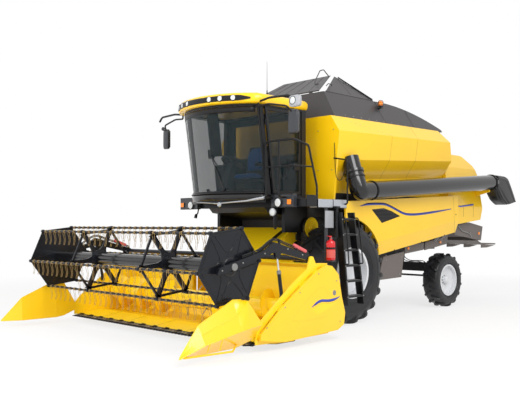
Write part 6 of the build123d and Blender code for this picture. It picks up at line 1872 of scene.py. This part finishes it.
# ----------------------------------------------------------------------------- reel
@dataclass
class Reel(Assembly):
    """Tined reel: tube, pressed spiders, ribbed end plates, tine bars and arms."""

    carried: dict[str, Finish] = field(default_factory=lambda: {"reel_arms": REEL_BLACK})
    centre: Point = (0.0, -3.45, 1.148)
    radius: float = 0.538
    bars: int = 6
    phase: float = 36.6
    end_x: float = 2.17
    pitch: float = 0.152
    tines: int = 28
    tine: float = 0.215

    def bar_place(self, number: int) -> tuple[float, float]:
        """Centre of a tine bar, as (rearwards, height)."""
        angle = radians(self.phase + 360 / self.bars * number)
        return self.centre[1] - self.radius * sin(angle), self.centre[2] + self.radius * cos(angle)

    def radial(self, x: float, out: float, aside: float, number: float) -> Vector:
        """Point out along the spoke of a bar and aside from it."""
        angle = radians(self.phase + 360 / self.bars * number)
        r, t = Vector((0, -sin(angle), cos(angle))), Vector((0, -cos(angle), -sin(angle)))
        return Vector((x, self.centre[1], self.centre[2])) + r * out + t * aside

    def build(self) -> None:
        """Make every part of the reel."""
        _, y, z = self.centre
        tube = Form().lathe((0, y, z), LEFT, [(-2.19, 0.0), (-2.19, 0.0945), (2.19, 0.0945), (2.19, 0.0)], 48)
        tube.lathe((0, y, z), LEFT, [(-2.265, 0.0), (-2.265, 0.025), (2.265, 0.025), (2.265, 0.0)], 24)
        tube.make("reel_tube", BLACK_GLOSS, "reel", angle=50, replaces=["reel"])
        self.spiders()
        self.end_plates()
        for number in range(self.bars):
            self.tine_bar(number)
        self.arms()

    def spiders(self) -> None:
        """Make the two pressed spiders, six flared arms each, with their lips and clamps."""
        plates, lips, clamps = Form(), Form(), Form()
        spoke, hub, rim = 0.034, 0.135, self.radius - 0.02
        stations = [(hub * 0.8 + (rim - hub * 0.8) * share, spoke + 0.05 * max(0.0, 1 - share * 3.2) ** 2 + 0.02
                     * max(0.0, share * 4 - 3.0) ** 2) for share in (i / 12 for i in range(13))]
        for x in (-6 * self.pitch, 6 * self.pitch):
            for number in range(self.bars):
                # arm with arched sides, from the hub to the bar
                plates.grid([[self.radial(x + deep, out, half * side, number) for deep,
                              side in ((-0.004, -1), (-0.004, 1), (0.004, 1), (0.004, -1))] for out,
                             half in stations], wrap=True, caps=True)
                for side in (1, -1):
                    lips.grid([[self.radial(x + deep, out, side * (half - less), number) for deep,
                                less in ((-0.016, 0), (0.016, 0), (0.016, 0.004), (-0.016, 0.004))] for out,
                               half in stations], wrap=True, caps=True)
                a, b = self.radial(x, rim, 0, number), self.radial(x, rim, 0, number + 1)
                inward = (Vector((x, self.centre[1], self.centre[2])) - (a + b) / 2).normalized()
                for wide, deep in ((0.016, 0.005), (0.004, 0.036)):
                    start, end, step = a - LEFT * wide, b - LEFT * wide, inward * deep
                    plates.prism([start, end, end + step, start + step], (2 * wide, 0, 0))
                place_y, place_z = self.bar_place(number)
                clamps.lathe((x, place_y, place_z), LEFT, [(-0.024, 0.018), (-0.024, 0.028), (0.024, 0.028),
                                                           (0.024, 0.018)], 20)
            clamps.lathe((x, self.centre[1], self.centre[2]), LEFT, [
                (-0.035, 0.094), (-0.035, 0.106), (-0.012, 0.108), (-0.008, 0.15), (0.008, 0.15),
                (0.012, 0.108),
                (0.035, 0.106), (0.035, 0.094)], 40)
            for number in range(12):
                spot = self.radial(x + 0.008, 0.13, 0, number / 2 + 0.25)
                clamps.bolt(spot, LEFT, 0.007)
        plates.make("reel_spiders", REEL_BLACK, "reel", bevel=0.002)
        lips.make("reel_spider_lips", REEL_BLACK, "reel")
        clamps.make("reel_clamps", REEL_BLACK, "reel", bevel=0.0015)

    def end_plates(self) -> None:
        """Make the six-sided end plates with their pressed ribs and rolled rims."""
        plates, ribs = Form(), Form()
        for hand in (1, -1):
            x0, x1 = hand * (self.end_x + 0.004), hand * (self.end_x + 0.01)
            corners = [self.bar_place(number) for number in range(self.bars)]
            plates.slab(corners, x0, x1)
            for number in range(self.bars):
                a, b = (self.radial(hand * (self.end_x + 0.008), self.radius, 0, number + k) for k in (0, 1))
                ribs.tube([a, b], 0.011, 8)
                a2, b2 = (self.radial(hand * (self.end_x + 0.008), self.radius * 0.9, 0, number + k)
                          for k in (0.03, 0.97))
                ribs.tube([a2, b2], 0.0065, 6)
                # arched rib between two spokes, and the pair of ribs along each spoke
                arch = [self.radial(hand * (self.end_x + 0.01), self.radius * r, 0, number + s) for r,
                        s in ((0.86, 0.07), (0.6, 0.14), (0.42, 0.26), (0.36, 0.5), (0.42, 0.74), (0.6, 0.86),
                              (0.86, 0.93))]
                ribs.tube(smooth_line(arch, 4), 0.0075, 6)
                ribs.bolt(self.radial(hand * (self.end_x + 0.01), self.radius * 0.7, 0, number + 0.03),
                          (hand, 0, 0), 0.008)
                ribs.bolt(self.radial(hand * (self.end_x + 0.01), self.radius * 0.3, 0, number + 0.5),
                          (hand, 0, 0), 0.008)
                y, z = self.bar_place(number)
                ribs.lathe((hand * self.end_x, y, z), (hand, 0, 0),
                           [(-0.02, 0.018), (-0.02, 0.028), (0.024, 0.028), (0.026, 0.0175)], 20)
            ribs.lathe((hand * (self.end_x + 0.01), self.centre[1], self.centre[2]), (hand, 0, 0), [
                (0.0, 0.14), (0.006, 0.136), (0.008, 0.11), (0.016, 0.104), (0.016, 0.03)], 40)
        plates.make("reel_end_plates", REEL_BLACK, "reel", bevel=0.001)
        ribs.make("reel_end_ribs", REEL_BLACK, "reel", angle=50)

    def tine_bar(self, number: int) -> None:
        """Make one tine bar with its sprung tines."""
        y, z = self.bar_place(number)
        name = f"tine_bar_{number + 1}"
        bar = Form().lathe((0, y, z), LEFT, [(-2.204, 0.0), (-2.204, 0.0165), (2.204, 0.0165), (2.204, 0.0)],
                           20)
        wires = Form()
        for index in range(self.tines):
            x = (index - (self.tines - 1) / 2) * self.pitch
            bar.box((x - 0.007, y - 0.017, z - 0.006), (x + 0.007, y + 0.017, z + 0.0185))
            turns = []
            for side in (1, -1):
                path = [Vector((x + side * 0.003, y + 0.004, z + 0.0205))]
                for k in range(19):
                    a = pi / 2 + 2 * pi * k / 9
                    path.append(Vector((x + side * (0.006 + 0.0012 * k), y + 0.0215 * cos(a), z + 0.0215
                                        * sin(a) - 0.001)))
                path += [Vector((x + side * 0.027, y - 0.02, z - 0.03)),
                         Vector((x + side * 0.021, y - 0.006, z - 0.085)),
                         Vector((x + side * 0.017, y + 0.004, z - 0.14)),
                         Vector((x + side * 0.015, y - 0.006, z - 0.19)),
                         Vector((x + side * 0.014, y - 0.0125, z - self.tine))]
                turns.append(path)
            for path in turns:
                wires.tube(path, 0.0028, 5)
        bar.make(f"{name}_tube", REEL_BLACK, name, angle=40, replaces=[name])
        wires.make(f"{name}_wires", TINE, name)

    def arms(self) -> None:
        """Make the arms' bolts, hoses and red sleeves."""
        bolts, hoses, face = Form(), Form(), 2.275
        for y, z in ((-3.66, 1.11), (-3.3, 1.195), (-2.9, 1.305), (-2.45, 1.355), (-2.15, 1.265)):
            bolts.bolt((face, y, z), LEFT, SMALL_BOLT)
        bolts.lathe((face, self.centre[1], self.centre[2]), LEFT, [(0.0, 0.05), (0.01, 0.046), (0.012, 0.028),
                                                                   (0.012, 0.0)], 28)
        bolts.lathe((face, -1.985, 1.205), LEFT, [(0.0, 0.03), (0.002, 0.028), (0.002, 0.0)], 24)
        both(bolts).make("reel_arm_bolts", STEEL, "reel_arms")
        for number in range(2):
            lift = 0.022 * number
            hoses.tube(smooth_line([(2.25, -3.3, 1.262 + lift), (2.25, -3.0, 1.34 + lift),
                                    (2.25, -2.72, 1.478 + lift), (2.25, -2.45, 1.41 + lift),
                                    (2.25, -2.1, 1.305 + lift), (2.235, -1.98, 1.262 + lift)]), 0.009, 8)
        for y, z in ((-3.1, 1.31), (-2.6, 1.445), (-2.25, 1.348)):
            hoses.box((2.232, y - 0.01, z - 0.03), (2.268, y + 0.01, z + 0.04))
        both(hoses).make("reel_arm_hoses", HOSE, "reel_arms")
        sleeve = Form().tube([(2.25, -2.3, 1.402), (2.25, -2.06, 1.31)], 0.028, 16)
        both(sleeve).make("reel_arm_sleeves", RED_SLEEVE, "reel_arms")


@dataclass
class Cylinders(Assembly):
    """Lift cylinders of the header and the reel."""

    carried: dict[str, Finish] = field(default_factory=lambda: {
        "lift_cylinder_barrels": CHASSIS, "lift_cylinder_rods": CHROME, "reel_cylinder_barrels": BLACK,
        "reel_cylinder_rods": CHROME})

    def gland(self, x: float, base: Point, eye: Point, share: float, radius: float) -> Form:
        """Gland nut round a barrel's end."""
        a, b = Vector((x, *base)), Vector((x, *eye))
        run = b - a
        return Form().lathe(a + run * share, run, [(-0.045, radius - 0.002), (-0.045, radius + 0.004),
                                                   (-0.004, radius + 0.004), (0.0, radius - 0.002),
                                                   (0.002, radius * 0.72)], 24)

    def build(self) -> None:
        """Make the gland nuts."""
        lifts = self.gland(0.42, (-0.3, 0.56), (-1.26, 0.4), 0.62, 0.045)
        both(lifts).make("lift_cylinder_glands", BLACK, "lift_barrels")
        reels = self.gland(2.25, (-2.55, 0.7), (-2.64, 1.25), 0.66, 0.026)
        both(reels).make("reel_cylinder_glands", STEEL, "reel_lift_barrels")


# --------------------------------------------------------------------------- studio
@dataclass
class Studio:
    """Plain pale floor, soft lamps and the camera."""

    azimuth: float = 45.277
    pitch: float = 1.278
    lens: float = 48.83
    stand: Point = (8.928, -10.324, 1.69)
    daylight: float = 0.7

    def camera(self) -> None:
        """Set up the camera."""
        lens = bpy.data.cameras.new("camera")
        lens.lens, lens.sensor_width, lens.clip_end = self.lens, 36.0, 200.0
        camera = bpy.data.objects.new("camera", lens)
        bpy.context.scene.collection.objects.link(camera)
        camera.location = self.stand
        camera.rotation_euler = (radians(90 + self.pitch), 0, radians(self.azimuth))
        bpy.context.scene.camera = camera

    def floor(self) -> None:
        """Lay the floor, pale to the eye and with a soft shadow."""
        mesh = bpy.data.meshes.new("floor")
        size, count = 60.0, 12
        points = [(-size + 2 * size * i / count, -size + 2 * size * j / count, -0.001) for j in range(count + 1)
                  for i in range(count + 1)]
        faces = [(j * (count + 1) + i, j * (count + 1) + i + 1, (j + 1) * (count + 1) + i + 1, (j + 1)
                  * (count + 1) + i) for j in range(count) for i in range(count)]
        mesh.from_pydata(points, [], faces)
        shader = Shader(bpy.data.materials.new("studio_floor"))
        speckle = shader.noise(3, 2)
        shader.set(Base_Color=shader.mix(speckle, (0.86, 0.86, 0.86), (0.9, 0.9, 0.9)), Roughness=0.9)
        light = shader.node("ShaderNodeEmission", {}, {0: (1, 1, 1, 1), 1: 1.0})
        away = shader.along(0) * shader.along(0) + shader.along(1) * shader.along(1)
        seen = self.watched(shader) * (away.ramp(40.0, 190.0) * 0.26 + 0.74)
        mixed = shader.node("ShaderNodeMixShader", {}, {0: seen, 1: shader.principled.outputs[0],
                                                        2: light.outputs[0]})
        shader.tree.links.new(mixed.outputs[0], shader.output.inputs["Surface"])
        mesh.materials.append(shader.owner)
        floor = bpy.data.objects.new("floor", mesh)
        bpy.context.scene.collection.objects.link(floor)

    def watched(self, shader: Shader) -> Value:
        """1 for rays from the camera, a gloss or a clear pane, and 0 for light on the object."""
        path = shader.node("ShaderNodeLightPath")
        camera, gloss, clear = (Value(shader, path.outputs[f"Is {kind} Ray"])
                                for kind in ("Camera", "Glossy", "Transmission"))
        return shader.math("MAXIMUM", camera, shader.math("MAXIMUM", gloss, clear))

    def lamp(self, name: str, spot: Point, aim: Point, size: float, power: float,
             mirrored: bool = False) -> None:
        """Add one soft square lamp.

        Args:
            name: The lamp's name.
            spot: Where it stands.
            aim: The point that it faces.
            size: Its side, in metres.
            power: Its power, in watts.
            mirrored: Whether glossy surfaces show it.
        """
        light = bpy.data.lights.new(name, "AREA")
        light.size, light.energy = size, power
        item = bpy.data.objects.new(name, light)
        bpy.context.scene.collection.objects.link(item)
        item.location = spot
        item.visible_glossy = mirrored
        item.rotation_euler = (Vector(spot) - Vector(aim)).to_track_quat("Z", "Y").to_euler()

    def build(self) -> None:
        """Set the world's light, the lamps, the floor and the camera."""
        scene = bpy.context.scene
        scene.view_settings.view_transform = "Standard"
        scene.world = bpy.data.worlds.new("daylight")
        sky = Shader(scene.world)
        soft, white = (sky.node("ShaderNodeBackground", {}, {0: (1, 1, 1, 1), 1: power})
                       for power in (self.daylight, 1.0))
        mixed = sky.node("ShaderNodeMixShader", {}, {0: self.watched(sky), 1: soft.outputs[0],
                                                     2: white.outputs[0]})
        sky.node("ShaderNodeOutputWorld", {}, {0: mixed.outputs[0]})
        self.lamp("key", (9.0, -4.0, 9.0), (0.6, 0.0, 1.6), 6.0, 780, True)
        self.lamp("front", (-1.0, -13.0, 4.0), (0.0, -3.0, 0.8), 6.0, 640)
        self.lamp("low", (5.0, -9.5, 1.4), (0.0, -2.4, 0.5), 2.0, 50)
        self.floor()
        self.camera()


def wheels() -> list[Wheel]:
    """The four wheels."""
    result = []
    for hand, where in ((1, "left"), (-1, "right")):
        result.append(Wheel({f"drive_rim_{where}": RIM}, "drive", where, (hand * 1.225, 0.0, 0.87)))
        result.append(Wheel({f"steer_rim_{where}": RIM}, "steer", where, (hand * 1.15, 3.457, 0.55), 0.55, 0.17,
                            0.134, 0.322, 0.034, 15, 0.084, 8, 0.044))
    return result


def main() -> None:
    """Build and dress the machine."""
    Studio().build()
    assemblies: list[Assembly] = [Platform(), *wheels(), Chassis(), UpperBody(), SidePanel(hand=1),
                                  SidePanel(hand=-1), TankTop(), UnloadingTube(), Cab(), DriverSeat(), Header(),
                                  Reel(), Cylinders()]
    for assembly in assemblies:
        assembly.build()
        assembly.dress()
        log.info("%s done", type(assembly).__name__)


if __name__ == "__main__":
    logging.basicConfig(level=logging.INFO, format="%(message)s")
    main()
